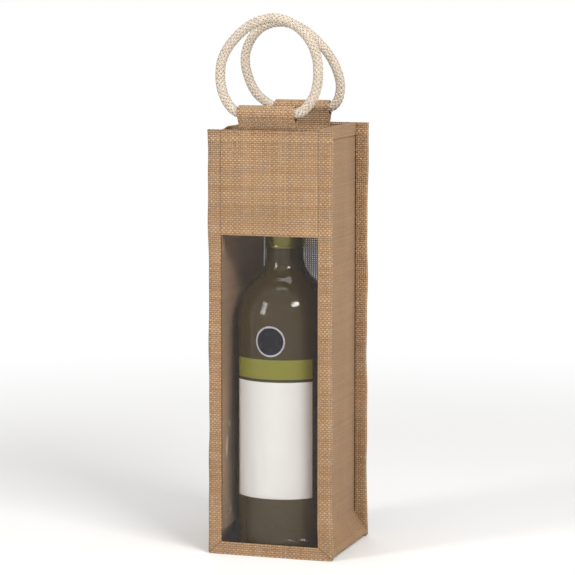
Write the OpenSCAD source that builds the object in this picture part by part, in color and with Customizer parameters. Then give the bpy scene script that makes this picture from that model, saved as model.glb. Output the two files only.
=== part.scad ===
// Single-bottle gift bag: jute panels, gusset strip, clear window, rope handles in
// sleeve tabs, and the bottle that it carries. Millimetres, +Z up, front face towards -Y.
// The origin is the middle of the underside.

/* [Bag] */
// Depth over the front and back panels
bag_d = 100; // [98:1:130]
// Height to the top hem
bag_h = 330; // [326:1:420]
// Width of the seam fins that stand out beside the gusset
fin_w = 11; // [8:0.5:14]
// Room beside the bottle, between the glass and the gusset
side_room = 0.6; // [0.5:0.1:8]
// Thickness of the coarse jute
jute_t = 1.2; // [0.8:0.05:1.5]
// Thickness of the finer gusset cloth
gusset_t = 0.9; // [0.6:0.05:1.2]
// Height of the folded hem at the mouth
hem_h = 10; // [6:1:14]
// Height over which the gusset flares out to the foot
flare_h = 20; // [12:1:40]
// Round of the foot's long edges
foot_r = 4; // [2:0.5:6]
// Round of the panels' lower corners
corner_r = 3; // [1:0.5:3.5]

/* [Window] */
// Height of the band above the window
band_h = 82; // [60:1:110]
// Height of the border under the window
border_h = 10; // [8:0.5:16]
// Thickness of the clear film
film_t = 0.3; // [0.2:0.05:0.5]
// Film held behind the edge of the window
film_lap = 8; // [5:0.5:9]

/* [Handles] */
// Diameter of the braided rope
rope_d = 8; // [6:0.1:9.6]
// Room round the rope inside its sleeve
rope_room = 0.6; // [0.5:0.05:1.2]
// Height of the sleeve's axis above the mouth
sleeve_rise = 11.3; // [9:0.1:16]
// Set-in of the sleeve's axis from the panel's outer face
sleeve_set = 1.5; // [1:0.1:3]
// Length of tab that is sewn in under the hem
tab_tail = 18; // [12:1:24]
// Thickness of the tape that joins the rope's ends
tape_t = 0.25; // [0.15:0.05:0.3]
// Length of that tape
tape_w = 18; // [12:1:24]

/* [Bottle] */
// Diameter of the bottle's body
bottle_d = 75; // [60:0.5:92]
// Height of the capped bottle
bottle_h = 295; // [280:1:305]
// Bare neck between the shoulder and the skirt
neck_show = 7.7; // [4:0.1:14]
// Glass wall of the body
glass_t = 3; // [2:0.1:4]
// Diameter of the neck
neck_d = 29; // [27:0.5:31]
// Level of the wine
fill_h = 231; // [200:1:240]
// Diameter of the screw cap and its skirt
cap_d = 29.8; // [28.8:0.1:32]
// Length of the cap with its skirt
capsule_h = 60; // [54:1:64]
// Length of the part that unscrews
cap_h = 18; // [14:1:22]
// Wall of the cap and skirt
cap_t = 0.6; // [0.4:0.05:0.7]

/* [Labels] */
// Angle that the front label and its band wrap round the bottle
label_wrap = 103.5; // [80:0.5:140]
// Height of the front label
label_h = 90.5; // [70:0.5:92]
// Height of the coloured band over the label
band_label_h = 15; // [10:0.5:16]
// Gap between the label and its band
band_gap = 2.3; // [1:0.1:3]
// Diameter of the medal sticker
medal_d = 23.6; // [18:0.1:24]
// Gap between the band and the medal
medal_gap = 2.4; // [1:0.1:4]
// Thickness of the paper
paper_t = 0.2; // [0.1:0.05:0.3]

/* [Stitching] */
// Distance from one stitch to the next
stitch_pitch = 5; // [4:0.5:8]
// Length of one stitch
stitch_l = 3.6; // [2.5:0.1:3.8]
// Thickness of the thread
thread_t = 0.35; // [0.2:0.05:0.5]

/* [Hidden] */

$fn = 96;

JUTE = "tan";
FINE_JUTE = "burlywood";
CREAM = "antiquewhite";
OLIVE = "darkolivegreen";
THREAD = "peru";

cut = 1;            // how far a cutting shape runs past the face it cuts
seat_gap = 0.3;     // gap between pieces that move apart
glue_gap = 0.05;    // glue line under the labels
liquid_gap = 0.1;   // gap between the wine and the glass
wrap_gap = 0.02;    // gap between the rope and the tape round it

// Gusset and panel planes
wall_x = bottle_d / 2 + side_room + gusset_t;     // outer face of the gusset's side
half_w = wall_x + fin_w;                          // outer edge of the panels
front_y = -bag_d / 2;
back_y = bag_d / 2;
front_in = front_y + jute_t + film_t;             // gusset's front edge, behind the film
back_in = back_y - jute_t;                        // gusset's back edge
foot_x = half_w - jute_t;                         // the gusset's reach at the foot
turn_w = fin_w - 1;                               // width of the panel's turned-back edge
window_top = bag_h - band_h;

// Sleeves. The rope bends off its straight stretch a little inside each sleeve end.
bend_in = 0.5;
rope_r = rope_d / 2;
bore_r = rope_r + rope_room;
sleeve_r = bore_r + jute_t;
axis_y = bag_d / 2 - sleeve_set;
axis_z = bag_h + sleeve_rise;

// Rope routes: across and up from the sleeve's axis, left sleeve end to right sleeve end
FRONT_ROUTE = [[-24, 0], [-28, 1.5], [-32.5, 6], [-36.5, 13], [-38.8, 21.5], [-39.2, 30],
               [-38, 38.5], [-34.5, 46.5], [-29, 54], [-22, 61], [-13.5, 66.8], [-4, 70.3],
               [5, 71.2], [14, 69.2], [22, 64.8], [29, 58.5], [34, 51], [37.3, 42],
               [38.3, 33], [38, 24], [35.8, 15], [31.5, 7.5], [26, 2], [20.5, 0]];
BACK_ROUTE = [[-26.5, 0], [-31, 1.2], [-36.5, 4.8], [-42, 9.3], [-46.3, 15.5], [-49.6, 23],
              [-51.8, 31], [-52.2, 39], [-50.3, 47], [-46, 55], [-39.5, 61.6], [-31, 65.5],
              [-22, 66.6], [-13, 65], [-4.5, 61.3], [3, 56], [9.5, 50], [15.5, 43.5],
              [20.5, 36], [24.2, 28], [26.4, 20], [26.4, 12], [23.8, 4.5], [18, 0]];
ROUTE_STEPS = 2;    // rings from one route point to the next
ROPE_SIDES = 12;

// Bottle
bottle_r = bottle_d / 2;
bottle_y = front_in + seat_gap + paper_t + glue_gap + bottle_r;
bottle_z = gusset_t + seat_gap;
neck_r = neck_d / 2;
heel_r = 6;
punt_r = bottle_r - 11;
punt_h = 14;
shoulder_r = 45;                 // convex shoulder
shoulder_a = 50;                 // steepest slope of the shoulder
turn_r = (bottle_r - neck_r - shoulder_r * (1 - cos(shoulder_a))) / (1 - cos(shoulder_a));
cap_r = cap_d / 2;
capsule_z = bottle_h - capsule_h;
neck_z = capsule_z - neck_show;
side_h = neck_z - (shoulder_r + turn_r) * sin(shoulder_a);    // top of the straight side
finish_r = cap_r - cap_t - seat_gap;      // glass under the cap and skirt
mouth_r = 9.25;
cap_top_t = 0.8;
liner_t = 1.5;
lip_z = bottle_h - cap_top_t - liner_t - 2 * seat_gap;
label_r = bottle_r + glue_gap;
medal_z = side_h - 0.2 - medal_d / 2;
band_z = medal_z - medal_d / 2 - medal_gap - band_label_h;
label_z = band_z - band_gap - label_h;
rim_w = 1.3;

// ---- shared shapes ----

function arc(cx, cy, r, a0, a1, n = 12) =
    [for (i = [0:n]) let (a = a0 + (a1 - a0) * i / n) [cx + r * cos(a), cy + r * sin(a)]];

function flip(pts) = [for (i = [len(pts) - 1:-1:0]) pts[i]];

function side_normal(a, b) = [a[1] - b[1], b[0] - a[0]] / norm(b - a);

// An open outline moved sideways by t, with its corners mitred
function moved(pts, t) =
    [for (i = [0:len(pts) - 1])
        let (n1 = side_normal(pts[max(i - 1, 0)], pts[max(i, 1)]),
             n2 = side_normal(pts[min(i, len(pts) - 2)], pts[min(i + 1, len(pts) - 1)]),
             s = n1 + n2)
        pts[i] + s * 2 * t / (s * s)];

// Outer line of the gusset, from the mouth down the right side and along half of the foot
function half_gusset() = concat(
    [[wall_x, bag_h], [wall_x, flare_h]],
    arc(foot_x - foot_r, foot_r, foot_r, 30, -90, 6));

function gusset_line() =
    let (right = half_gusset()) concat(right, flip([for (p = right) [-p[0], p[1]]]));

// An outline in X and Z, given thickness in Y from y0 to y1
module slab(y0, y1) {
    translate([0, y1, 0]) rotate([90, 0, 0]) linear_extrude(y1 - y0) children();
}

module panel_outline(inset = 0) {
    x = half_w - inset;
    r = corner_r - min(inset, corner_r / 2);
    polygon(concat(
        arc(x - 1, bag_h - 1, 1, 0, 90, 3), arc(-x + 1, bag_h - 1, 1, 90, 180, 3),
        arc(-x + r, inset + r, r, 180, 270, 6), arc(x - r, inset + r, r, 270, 360, 6)));
}

// The part of a panel's outline that stands outside the gusset
module fin_outline(inset, from_x) {
    difference() {
        panel_outline(inset);
        polygon(gusset_line());
        square([2 * from_x, 2 * bag_h + 2 * cut], center = true);
    }
}

// Panel with its sides turned back round the gusset's seam allowance, and its top hem
module panel(y_out, slot) {
    y1 = y_out + jute_t;
    y2 = y1 + slot;
    slab(y_out, y1) children();
    slab(y1, y2) fin_outline(0, foot_x);
    slab(y2, y2 + jute_t) fin_outline(0, half_w - turn_w);
    hem_x = wall_x - gusset_t - 0.2;
    translate([-hem_x, y1, bag_h - hem_h]) cube([2 * hem_x, jute_t, hem_h]);
}

// Points of a smooth line through a route, leaving both ends level
function smooth(p, i, t) =
    let (n = len(p),
         a = i == 0 ? [2 * p[0][0] - p[1][0], p[1][1]] : p[i - 1],
         b = p[i],
         c = p[i + 1],
         d = i == n - 2 ? [2 * c[0] - b[0], b[1]] : p[i + 2])
    0.5 * (2 * b + (c - a) * t + (2 * a - 5 * b + 4 * c - d) * t * t
           + (3 * b - a - 3 * c + d) * t * t * t);

function rope_line(p) = concat(
    [for (i = [0:len(p) - 2], k = [0:ROUTE_STEPS - 1]) smooth(p, i, k / ROUTE_STEPS)],
    [p[len(p) - 1]]);

// A closed ring of rope swept along its route
module rope_ring(route) {
    line = rope_line(route);
    n = len(line);
    m = ROPE_SIDES;
    pts = [for (i = [0:n - 1])
        let (t = line[(i + 1) % n] - line[(i + n - 1) % n],
             side = [-t[1], t[0]] / norm(t))
        for (k = [0:m - 1])
            let (a = 360 * (k + 0.5) / m)
            [line[i][0] + side[0] * rope_r * cos(a),
             rope_r * sin(a),
             line[i][1] + side[1] * rope_r * cos(a)]];
    faces = [for (i = [0:n - 1], k = [0:m - 1])
        let (j = (i + 1) % n, l = (k + 1) % m)
        each [[i * m + k, i * m + l, j * m + l], [i * m + k, j * m + l, j * m + k]]];
    polyhedron(pts, faces);
}

// Sleeve tab: two plies sewn in under the hem, looped over the rope
module handle_tab(x0, x1) {
    ply_y = jute_t * 2 - bag_d / 2;
    tail_y = ply_y + axis_y;
    rotate([90, 0, 90]) translate([0, 0, x0]) linear_extrude(x1 - x0) difference() {
        union() {
            translate([-axis_y, axis_z]) circle(sleeve_r);
            translate([ply_y, bag_h - tab_tail])
                square([2 * jute_t, tab_tail + sleeve_rise - bore_r]);
            polygon([[-axis_y - 0.92 * sleeve_r, axis_z - 0.4 * sleeve_r], [ply_y, bag_h],
                     [ply_y + 2 * jute_t, bag_h],
                     [-axis_y + 0.92 * sleeve_r, axis_z - 0.4 * sleeve_r]]);
        }
        translate([-axis_y, axis_z]) circle(bore_r);
    }
}

module rope_joint(route) {
    mid = (route[0][0] + route[len(route) - 1][0]) / 2;
    translate([mid, 0, axis_z]) rotate([0, 90, 0]) difference() {
        cylinder(h = tape_w, r = rope_r + wrap_gap + tape_t, center = true);
        cylinder(h = tape_w + 2 * cut, r = rope_r + wrap_gap, center = true);
    }
}

// A row of stitches along X, Y or Z, laid outwards of a face
module stitch_row(len_x = 0, len_y = 0, len_z = 0) {
    run = len_x + len_y + len_z;
    count = floor((run - stitch_l) / stitch_pitch) + 1;
    start = (run - (count - 1) * stitch_pitch - stitch_l) / 2;
    way = [sign(len_x), sign(len_y), sign(len_z)];
    for (i = [0:count - 1])
        translate(way * (start + i * stitch_pitch))
            cube([for (k = [0:2]) way[k] ? stitch_l : thread_t]);
}

// Stitches that close a panel's two fins and its foot, on the panel's outer face
module seam_stitches(y) {
    x = wall_x + 2.5;
    z = border_h - 2.5;
    for (s = [-x - thread_t, x]) translate([s, y, z + 2]) stitch_row(len_z = bag_h - z - hem_h);
    translate([-x + 2, y, z]) stitch_row(len_x = 2 * x - 4);
}

// ---- sub-parts ----

module front_panel() {
    color(JUTE) panel(front_y, gusset_t + film_t) difference() {
        panel_outline();
        translate([-wall_x, border_h]) square([2 * wall_x, window_top - border_h]);
    }
}

module back_panel() {
    color(JUTE) mirror([0, 1, 0]) panel(-back_y, gusset_t) panel_outline();
}

module gusset() {
    line = gusset_line();
    color(FINE_JUTE) {
        slab(front_in, back_in) polygon(concat(line, flip(moved(line, -gusset_t))));
        slab(front_in, front_in + gusset_t) fin_outline(jute_t, wall_x);
        slab(back_in - gusset_t, back_in) fin_outline(jute_t, wall_x);
        clear_in = gusset_t + jute_t + 0.2;
        for (x = [-wall_x - gusset_t, wall_x])
            translate([x, front_in + clear_in, bag_h - hem_h])
                cube([gusset_t, back_in - front_in - 2 * clear_in, hem_h]);
    }
}

module window_film() {
    color("lightblue", 0.3)
        translate([-wall_x - film_lap, front_y + jute_t, border_h - film_lap])
            cube([2 * (wall_x + film_lap), film_t, window_top - border_h + 2 * film_lap]);
}

module front_handle_tab() {
    color(JUTE) handle_tab(FRONT_ROUTE[0][0] - bend_in, FRONT_ROUTE[23][0] + bend_in);
}

module back_handle_tab() {
    color(JUTE) mirror([0, 1, 0])
        handle_tab(BACK_ROUTE[0][0] - bend_in, BACK_ROUTE[23][0] + bend_in);
}

module front_rope() {
    color(CREAM) translate([0, -axis_y, axis_z]) rope_ring(FRONT_ROUTE);
}

module back_rope() {
    color(CREAM) translate([0, axis_y, axis_z]) rope_ring(BACK_ROUTE);
}

module front_rope_joint() {
    color("white") translate([0, -axis_y, 0]) rope_joint(FRONT_ROUTE);
}

module back_rope_joint() {
    color("white") translate([0, axis_y, 0]) rope_joint(BACK_ROUTE);
}

module front_seam_thread() {
    color(THREAD) seam_stitches(front_y - thread_t);
}

module back_seam_thread() {
    color(THREAD) seam_stitches(back_y);
}

module hem_thread() {
    z = bag_h - 4;
    color(THREAD) {
        for (y = [front_y - thread_t, back_y])
            translate([-wall_x, y, z]) stitch_row(len_x = 2 * wall_x);
        for (x = [-wall_x - gusset_t - thread_t, wall_x + gusset_t])
            translate([x, front_y + 6, z]) stitch_row(len_y = bag_d - 12);
    }
}

module window_thread() {
    color(THREAD) translate([-wall_x, front_y - thread_t, window_top + 3])
        stitch_row(len_x = 2 * wall_x);
}

// Two rows on the bag's inner side of the tab's tail
module tab_stitches(route) {
    x0 = route[0][0];
    for (z = [bag_h - 4, bag_h - tab_tail + 2])
        translate([x0, 4 * jute_t - bag_d / 2, z])
            stitch_row(len_x = route[len(route) - 1][0] - x0);
}

module front_tab_thread() {
    color(THREAD) tab_stitches(FRONT_ROUTE);
}

module back_tab_thread() {
    color(THREAD) mirror([0, 1, 0]) tab_stitches(BACK_ROUTE);
}

// Places a piece that is drawn round the bottle's own axis, from its foot
module on_bottle() {
    translate([0, bottle_y, bottle_z]) children();
}

// The glass outline from heel to neck, t inside the outer face
function glass_line(t) = concat(
    arc(bottle_r - heel_r - 0.001, heel_r + 0.001, heel_r - t, -90, 0, 6),
    arc(bottle_r - shoulder_r, side_h, shoulder_r - t, 0, shoulder_a, 12),
    arc(neck_r + turn_r, neck_z, turn_r + t, 180 + shoulder_a, 180, 8));

module bottle() {
    floor_t = glass_t + 1;
    color(OLIVE, 0.6) on_bottle() rotate_extrude() polygon(concat(
        [[0, punt_h], [punt_r / 2, punt_h - 3], [punt_r, 0]],
        glass_line(0),
        [[neck_r, capsule_z - seat_gap], [finish_r, capsule_z - seat_gap],
         [finish_r, lip_z - 1], [finish_r - 1, lip_z], [mouth_r, lip_z],
         [mouth_r, lip_z - 12], [neck_r - glass_t, lip_z - 40]],
        flip(glass_line(glass_t)),
        [[punt_r, floor_t], [punt_r / 2, punt_h - 3 + floor_t], [0, punt_h + floor_t]]));
}

module wine() {
    floor_t = glass_t + 1 + liquid_gap;
    line = [for (p = glass_line(glass_t + liquid_gap)) if (p[1] < fill_h) p];
    color("khaki", 0.5) on_bottle() rotate_extrude() polygon(concat(
        [[0, punt_h + floor_t], [punt_r / 2, punt_h - 3 + floor_t], [punt_r, floor_t]],
        line, [[line[len(line) - 1][0], fill_h], [0, fill_h]]));
}

module cap_skirt() {
    color(OLIVE) on_bottle() translate([0, 0, capsule_z]) difference() {
        h = capsule_h - cap_h - seat_gap;
        cylinder(h = h, r = cap_r);
        translate([0, 0, -cut]) cylinder(h = h + 2 * cut, r = cap_r - cap_t);
    }
}

module cap_liner() {
    color("white") on_bottle() translate([0, 0, lip_z + seat_gap])
        cylinder(h = liner_t, r = finish_r);
}

module screw_cap() {
    color(OLIVE) on_bottle() translate([0, 0, bottle_h - cap_h]) difference() {
        cylinder(h = cap_h, r = cap_r);
        translate([0, 0, -cut]) cylinder(h = cap_h - cap_top_t + cut, r = cap_r - cap_t);
    }
}

// A paper label wrapped round the front of the bottle
module label(z, h) {
    on_bottle() rotate([0, 0, -90 - label_wrap / 2]) rotate_extrude(angle = label_wrap)
        translate([label_r, z]) square([paper_t, h]);
}

module front_label() {
    color("white") label(label_z, label_h);
}

module variety_band() {
    color("olive") label(band_z, band_label_h);
}

// A round piece cut from a sticker wrapped on the front of the bottle
module sticker(r_out, r_in) {
    on_bottle() intersection() {
        difference() {
            cylinder(h = side_h, r = label_r + paper_t);
            translate([0, 0, -cut]) cylinder(h = side_h + 2 * cut, r = label_r);
        }
        translate([0, 0, medal_z]) rotate([90, 0, 0]) difference() {
            cylinder(h = bottle_d, r = r_out);
            if (r_in > 0) translate([0, 0, -cut]) cylinder(h = bottle_d + 2 * cut, r = r_in);
        }
    }
}

module medal_disc() {
    color("black") sticker(medal_d / 2 - rim_w, 0);
}

module medal_rim() {
    color("silver") sticker(medal_d / 2, medal_d / 2 - rim_w);
}

front_panel();
back_panel();
gusset();
window_film();
front_handle_tab();
back_handle_tab();
front_rope();
back_rope();
front_rope_joint();
back_rope_joint();
front_seam_thread();
back_seam_thread();
hem_thread();
window_thread();
front_tab_thread();
back_tab_thread();
bottle();
wine();
cap_skirt();
cap_liner();
screw_cap();
front_label();
variety_band();
medal_disc();
medal_rim();
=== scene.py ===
"""Looks of a single-bottle jute gift bag: woven cloth, clear window, braided rope
handles, sewn seams and the bottle inside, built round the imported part's frame.
All sizes are in metres; the bag stands on Z = 0 with its front towards -Y."""

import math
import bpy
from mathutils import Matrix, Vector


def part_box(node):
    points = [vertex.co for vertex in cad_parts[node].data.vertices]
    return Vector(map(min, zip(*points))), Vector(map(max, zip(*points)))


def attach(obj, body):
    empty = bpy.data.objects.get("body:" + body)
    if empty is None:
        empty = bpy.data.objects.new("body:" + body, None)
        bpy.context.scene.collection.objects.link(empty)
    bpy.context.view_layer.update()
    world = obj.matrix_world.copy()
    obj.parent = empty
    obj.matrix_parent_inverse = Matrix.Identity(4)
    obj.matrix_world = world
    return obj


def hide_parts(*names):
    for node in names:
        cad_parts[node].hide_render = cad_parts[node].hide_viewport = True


bl_info = {
    "name": "Bottle Gift Bag",
    "version": (1, 0, 0),
    "blender": (4, 5, 0),
    "location": "3D View > Sidebar > Gift Bag",
    "description": "Builds a jute bottle bag with its window, rope handles and bottle",
    "category": "Object",
}

import bmesh
import bpy
import numpy as np
from mathutils import Vector, noise

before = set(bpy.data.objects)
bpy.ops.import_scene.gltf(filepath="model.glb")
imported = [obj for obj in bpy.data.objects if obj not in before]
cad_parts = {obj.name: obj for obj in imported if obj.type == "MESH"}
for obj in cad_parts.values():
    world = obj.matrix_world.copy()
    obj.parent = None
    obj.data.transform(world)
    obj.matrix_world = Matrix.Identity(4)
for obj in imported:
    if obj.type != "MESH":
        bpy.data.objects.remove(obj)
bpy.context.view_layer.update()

MM = 0.001

# Bag, from the frame
PANEL_LO, PANEL_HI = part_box("front_panel")
FILM_LO, FILM_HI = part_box("window_film")
HALF_W = PANEL_HI.x
FRONT_Y = PANEL_LO.y
BACK_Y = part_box("back_panel")[1].y
BAG_H = PANEL_HI.z
JUTE_T = FILM_LO.y - FRONT_Y
FILM_T = FILM_HI.y - FILM_LO.y
FILM_LAP = 8 * MM
WALL_X = FILM_HI.x - FILM_LAP
WINDOW_Z0 = FILM_LO.z + FILM_LAP
WINDOW_Z1 = FILM_HI.z - FILM_LAP
HEM_H = 10 * MM
TURN_X = HALF_W - 10 * MM
CLOTH_T = 0.7 * MM
GUSSET_T = 0.9 * MM
FLARE_H = 20 * MM
FOOT_R = 4 * MM
CORNER_R = 3 * MM

# Width of a yarn as a share of the pitch, in the bag's jute and in the open back
CLOSE_YARN = 0.82
OPEN_YARN = 0.62

# Sleeves and ropes
SLEEVE_Z = BAG_H + 11.3 * MM
SLEEVE_SET = 1.5 * MM
SLEEVE_R = 5.2 * MM
TAIL_Z = BAG_H - 18 * MM
ROPE_R = 4 * MM
STRAND_W = 1.2 * MM
STRAND_T = 0.62 * MM
STRAND_GIRTH = 5.82 * MM
YARN_W = 0.62 * MM
LANE = 10 * MM
FRONT_ROUTE = [
    (-24, 0), (-28, 1.5), (-32.5, 6), (-36.5, 13), (-38.8, 21.5), (-39.2, 30),
    (-38, 38.5), (-34.5, 46.5), (-29, 54), (-22, 61), (-13.5, 66.8), (-4, 70.3),
    (5, 71.2), (14, 69.2), (22, 64.8), (29, 58.5), (34, 51), (37.3, 42),
    (38.3, 33), (38, 24), (35.8, 15), (31.5, 7.5), (26, 2), (20.5, 0),
]
BACK_ROUTE = [
    (-26.5, 0), (-31, 1.2), (-36.5, 4.8), (-42, 9.3), (-46.3, 15.5), (-49.6, 23),
    (-51.8, 31), (-52.2, 39), (-50.3, 47), (-46, 55), (-39.5, 61.6), (-31, 65.5),
    (-22, 66.6), (-13, 65), (-4.5, 61.3), (3, 56), (9.5, 50), (15.5, 43.5),
    (20.5, 36), (24.2, 28), (26.4, 20), (26.4, 12), (23.8, 4.5), (18, 0),
]

# Bottle, from the frame
BOTTLE_LO, BOTTLE_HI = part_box("bottle")
BOTTLE_R = (BOTTLE_HI.x - BOTTLE_LO.x) / 2
BOTTLE_Y = (BOTTLE_LO.y + BOTTLE_HI.y) / 2
BOTTLE_Z = BOTTLE_LO.z
GLASS_T = 3 * MM
LABEL_R = BOTTLE_R + 0.15 * MM
LABEL_WRAP = math.radians(103.5)
PAPER_T = 0.2 * MM


def srgb(red, green, blue):
    """A colour written in 0 to 255 display values, as the linear one that Blender keeps."""
    parts = (v / 255 for v in (red, green, blue))
    return tuple(v / 12.92 if v <= 0.04045 else ((v + 0.055) / 1.055) ** 2.4 for v in parts)


def colour_property(name, description, rgb):
    return bpy.props.FloatVectorProperty(
        name=name, description=description, default=srgb(*rgb), subtype="COLOR", size=3,
        min=0, max=1,
    )


def length_property(name, description, metres):
    return bpy.props.FloatProperty(
        name=name, description=description, default=metres, min=0, unit="LENGTH",
        subtype="DISTANCE", precision=5,
    )


class BagSizes(bpy.types.PropertyGroup):
    jute_pitch: length_property(
        "Jute pitch", "Distance between the yarns of the coarse jute", 1.75 * MM)
    gusset_pitch: length_property(
        "Gusset pitch", "Distance between the yarns of the gusset cloth", 1.25 * MM)
    cloth_step: length_property(
        "Cloth step", "Distance between the points of a cloth mesh", 2.2 * MM)
    film_step: length_property(
        "Film step", "Distance between the points of the film", 0.9 * MM)
    sway: length_property(
        "Sway", "How far the fins and the band wander from flat", 0.45 * MM)
    stitch_pitch: length_property("Stitch pitch", "From one stitch to the next", 5 * MM)
    stitch_length: length_property("Stitch length", "Length of one stitch", 3.6 * MM)
    thread_radius: length_property("Thread radius", "Half the thread's thickness", 0.32 * MM)
    braid_pitch: length_property(
        "Braid pitch", "Length in which a strand goes once round the rope", 21 * MM)
    braid_strands: bpy.props.IntProperty(
        name="Braid strands", description="Strands that run each way round", default=6, min=3)
    lathe_steps: bpy.props.IntProperty(
        name="Lathe steps", description="Faces round the bottle", default=144, min=24)


class BagColours(bpy.types.PropertyGroup):
    jute: colour_property("Jute", "Coarse jute of the panels and tabs", (207, 170, 131))
    jute_dark: colour_property("Dark jute", "Darkest of the jute yarns", (160, 122, 86))
    gusset: colour_property("Gusset", "Finer cloth of the gusset", (170, 133, 92))
    gusset_dark: colour_property("Dark gusset", "Darkest of its yarns", (132, 98, 64))
    thread: colour_property("Thread", "Sewing thread", (176, 138, 98))
    rope: colour_property("Rope", "Cotton of the handles", (226, 210, 190))
    tape: colour_property("Tape", "Tape that joins the rope's ends", (226, 222, 214))
    glass: colour_property("Glass", "Antique green bottle glass", (78, 62, 31))
    wine: colour_property("Wine", "Pale wine", (232, 222, 150))
    capsule: colour_property("Capsule", "Screw cap and its skirt", (118, 112, 34))
    liner: colour_property("Liner", "Soft liner in the cap", (226, 224, 216))
    label: colour_property("Label", "Front label's paper", (224, 221, 216))
    band: colour_property("Band", "Coloured band over the label", (128, 124, 34))
    medal: colour_property("Medal", "Face of the round sticker", (30, 26, 34))
    foil: colour_property("Foil", "Rim of the round sticker", (190, 186, 190))
    floor: colour_property("Floor", "Studio floor", (236, 235, 233))


# ---- numbers ----


def ease(x, start, end):
    """0 before start, 1 after end, and smooth in between."""
    t = np.clip((x - start) / (end - start), 0, 1)
    return t * t * (3 - 2 * t)


def spread(start, end, step):
    """Evenly spaced values from start to end, about a step apart."""
    return np.linspace(start, end, max(1, round(abs(end - start) / step)) + 1)


def joined(*runs):
    """Runs of values that meet at their ends, as one run without the repeats."""
    return np.concatenate([runs[0], *(r[1:] for r in runs[1:])])


def arc(centre_u, centre_v, radius, start, end, steps=8):
    a = np.radians(np.linspace(start, end, steps + 1))
    return np.stack([centre_u + radius * np.cos(a), centre_v + radius * np.sin(a)], 1)


def run_lengths(points):
    """Distance along a line at each of its points."""
    return np.concatenate([[0], np.cumsum(np.linalg.norm(np.diff(points, axis=0), axis=1))])


def resampled(points, step):
    """A line's points again, about a step apart, with each of its corners kept."""
    parts = [a + (b - a) * t for a, b in zip(points[:-1], points[1:])
             for t in np.linspace(0, 1, max(1, round(np.linalg.norm(b - a) / step)) + 1)[:-1]]
    return np.array([*parts, points[-1]])


def drape(points, sway):
    """Moves the sewn cloth's points together, so its seams stay closed as it sags."""
    p = np.array(points, float)
    x, y, z = p.T.copy()
    side, front = np.sign(x), ease(-y, 30 * MM, 44 * MM)
    back = ease(y, 30 * MM, 44 * MM)
    fin = ease(abs(x), WALL_X + 0.5 * MM, HALF_W)
    wave = np.sin(z * 61 + side * 1.3 + y * 9) + 0.6 * np.sin(z * 143 + side * 2.1 + y * 20)
    waist = -1.4 * np.sin(np.pi * z / BAG_H) + 1.5 * (1 - ease(z, 0, 35 * MM))
    p[:, 0] += side * fin * sway * (0.6 * wave + waist)
    fold = np.clip(abs(x) - WALL_X, 0, None) * 0.07
    ripple = fin * (np.sin(z * 74 + side * 2) + 0.5 * np.sin(z * 170 + x * 40)) * 0.5
    band = (ease(z, WINDOW_Z1, WINDOW_Z1 + 30 * MM) * (1 - ease(z, BAG_H - 30 * MM, BAG_H - 8 * MM))
            * (1 - fin))
    bulge = band * (0.7 + np.sin(x * 90 + 1)) * 0.8
    free = 1 - 0.7 * ease(z, BAG_H - 25 * MM, BAG_H - 6 * MM)
    p[:, 1] += (front - back) * (fold + (ripple - bulge) * sway) * free
    p[:, 2] -= front * ease(z, BAG_H - 25 * MM, BAG_H) * 1.7 * MM
    wall = 1 - ease(abs(y), 30 * MM, 46 * MM)
    swell = wall * (1 - fin) * ease(z, FLARE_H, 2 * FLARE_H) * ease(BAG_H - z, 0, 40 * MM)
    sideways = ease(abs(x), WALL_X - 3 * MM, WALL_X - 1 * MM)
    p[:, 0] += side * swell * sideways * sway * (1.3 + np.sin(z * 37 + side) + 0.5 * np.sin(y * 130))
    return p


# ---- meshes ----


class Cloth:
    """Grids of cloth that share their edges, each with its place on the flat cloth as UV."""

    def __init__(self):
        self.points, self.faces, self.uvs = [], [], []

    def grid(self, place, us, vs, keep=lambda u, v: True):
        """place(u, v) is a point, and us and vs are distances along the flat cloth."""
        first, columns = len(self.points), len(vs)
        self.points += [place(u, v) for u in us for v in vs]
        for i in range(len(us) - 1):
            for j in range(columns - 1):
                if keep((us[i] + us[i + 1]) / 2, (vs[j] + vs[j + 1]) / 2):
                    a = first + i * columns + j
                    self.faces.append((a, a + columns, a + columns + 1, a + 1))
                    self.uvs += [(us[i], vs[j]), (us[i + 1], vs[j]),
                                 (us[i + 1], vs[j + 1]), (us[i], vs[j + 1])]
        return self

    def object(self, name, material, thickness, edge=0.3 * MM, move=None):
        points = np.array(self.points, float)
        if move:
            points = move(points)
        obj = mesh_object(name, points, self.faces, material, self.uvs)
        merge(obj.data)
        shell = obj.modifiers.new("thickness", "SOLIDIFY")
        shell.thickness, shell.offset, shell.use_even_offset = thickness, 0, True
        if edge:
            soften = obj.modifiers.new("edges", "BEVEL")
            soften.width, soften.segments, soften.limit_method = edge, 2, "ANGLE"
            soften.angle_limit = math.radians(60)
        return settled(obj)


def mesh_object(name, points, faces, material, uvs=None, smooth=True):
    """A mesh at the origin; uvs holds one pair for each corner of each face, in order."""
    mesh = bpy.data.meshes.new(name)
    mesh.from_pydata([tuple(p) for p in points], [], [tuple(f) for f in faces])
    if uvs is not None:
        layer = mesh.uv_layers.new(name="UVMap")
        layer.data.foreach_set("uv", np.array(uvs, np.float32).ravel())
    mesh.materials.append(material)
    mesh.polygons.foreach_set("use_smooth", [smooth] * len(mesh.polygons))
    obj = bpy.data.objects.new(name, mesh)
    bpy.context.scene.collection.objects.link(obj)
    return obj


def merge(mesh, distance=1e-6):
    """Welds points that coincide, drops points on no face and turns faces one way."""
    bm = bmesh.new()
    bm.from_mesh(mesh)
    bmesh.ops.remove_doubles(bm, verts=bm.verts, dist=distance)
    bmesh.ops.delete(bm, geom=[v for v in bm.verts if not v.link_faces], context="VERTS")
    bmesh.ops.recalc_face_normals(bm, faces=bm.faces)
    bm.to_mesh(mesh)
    bm.free()


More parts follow.
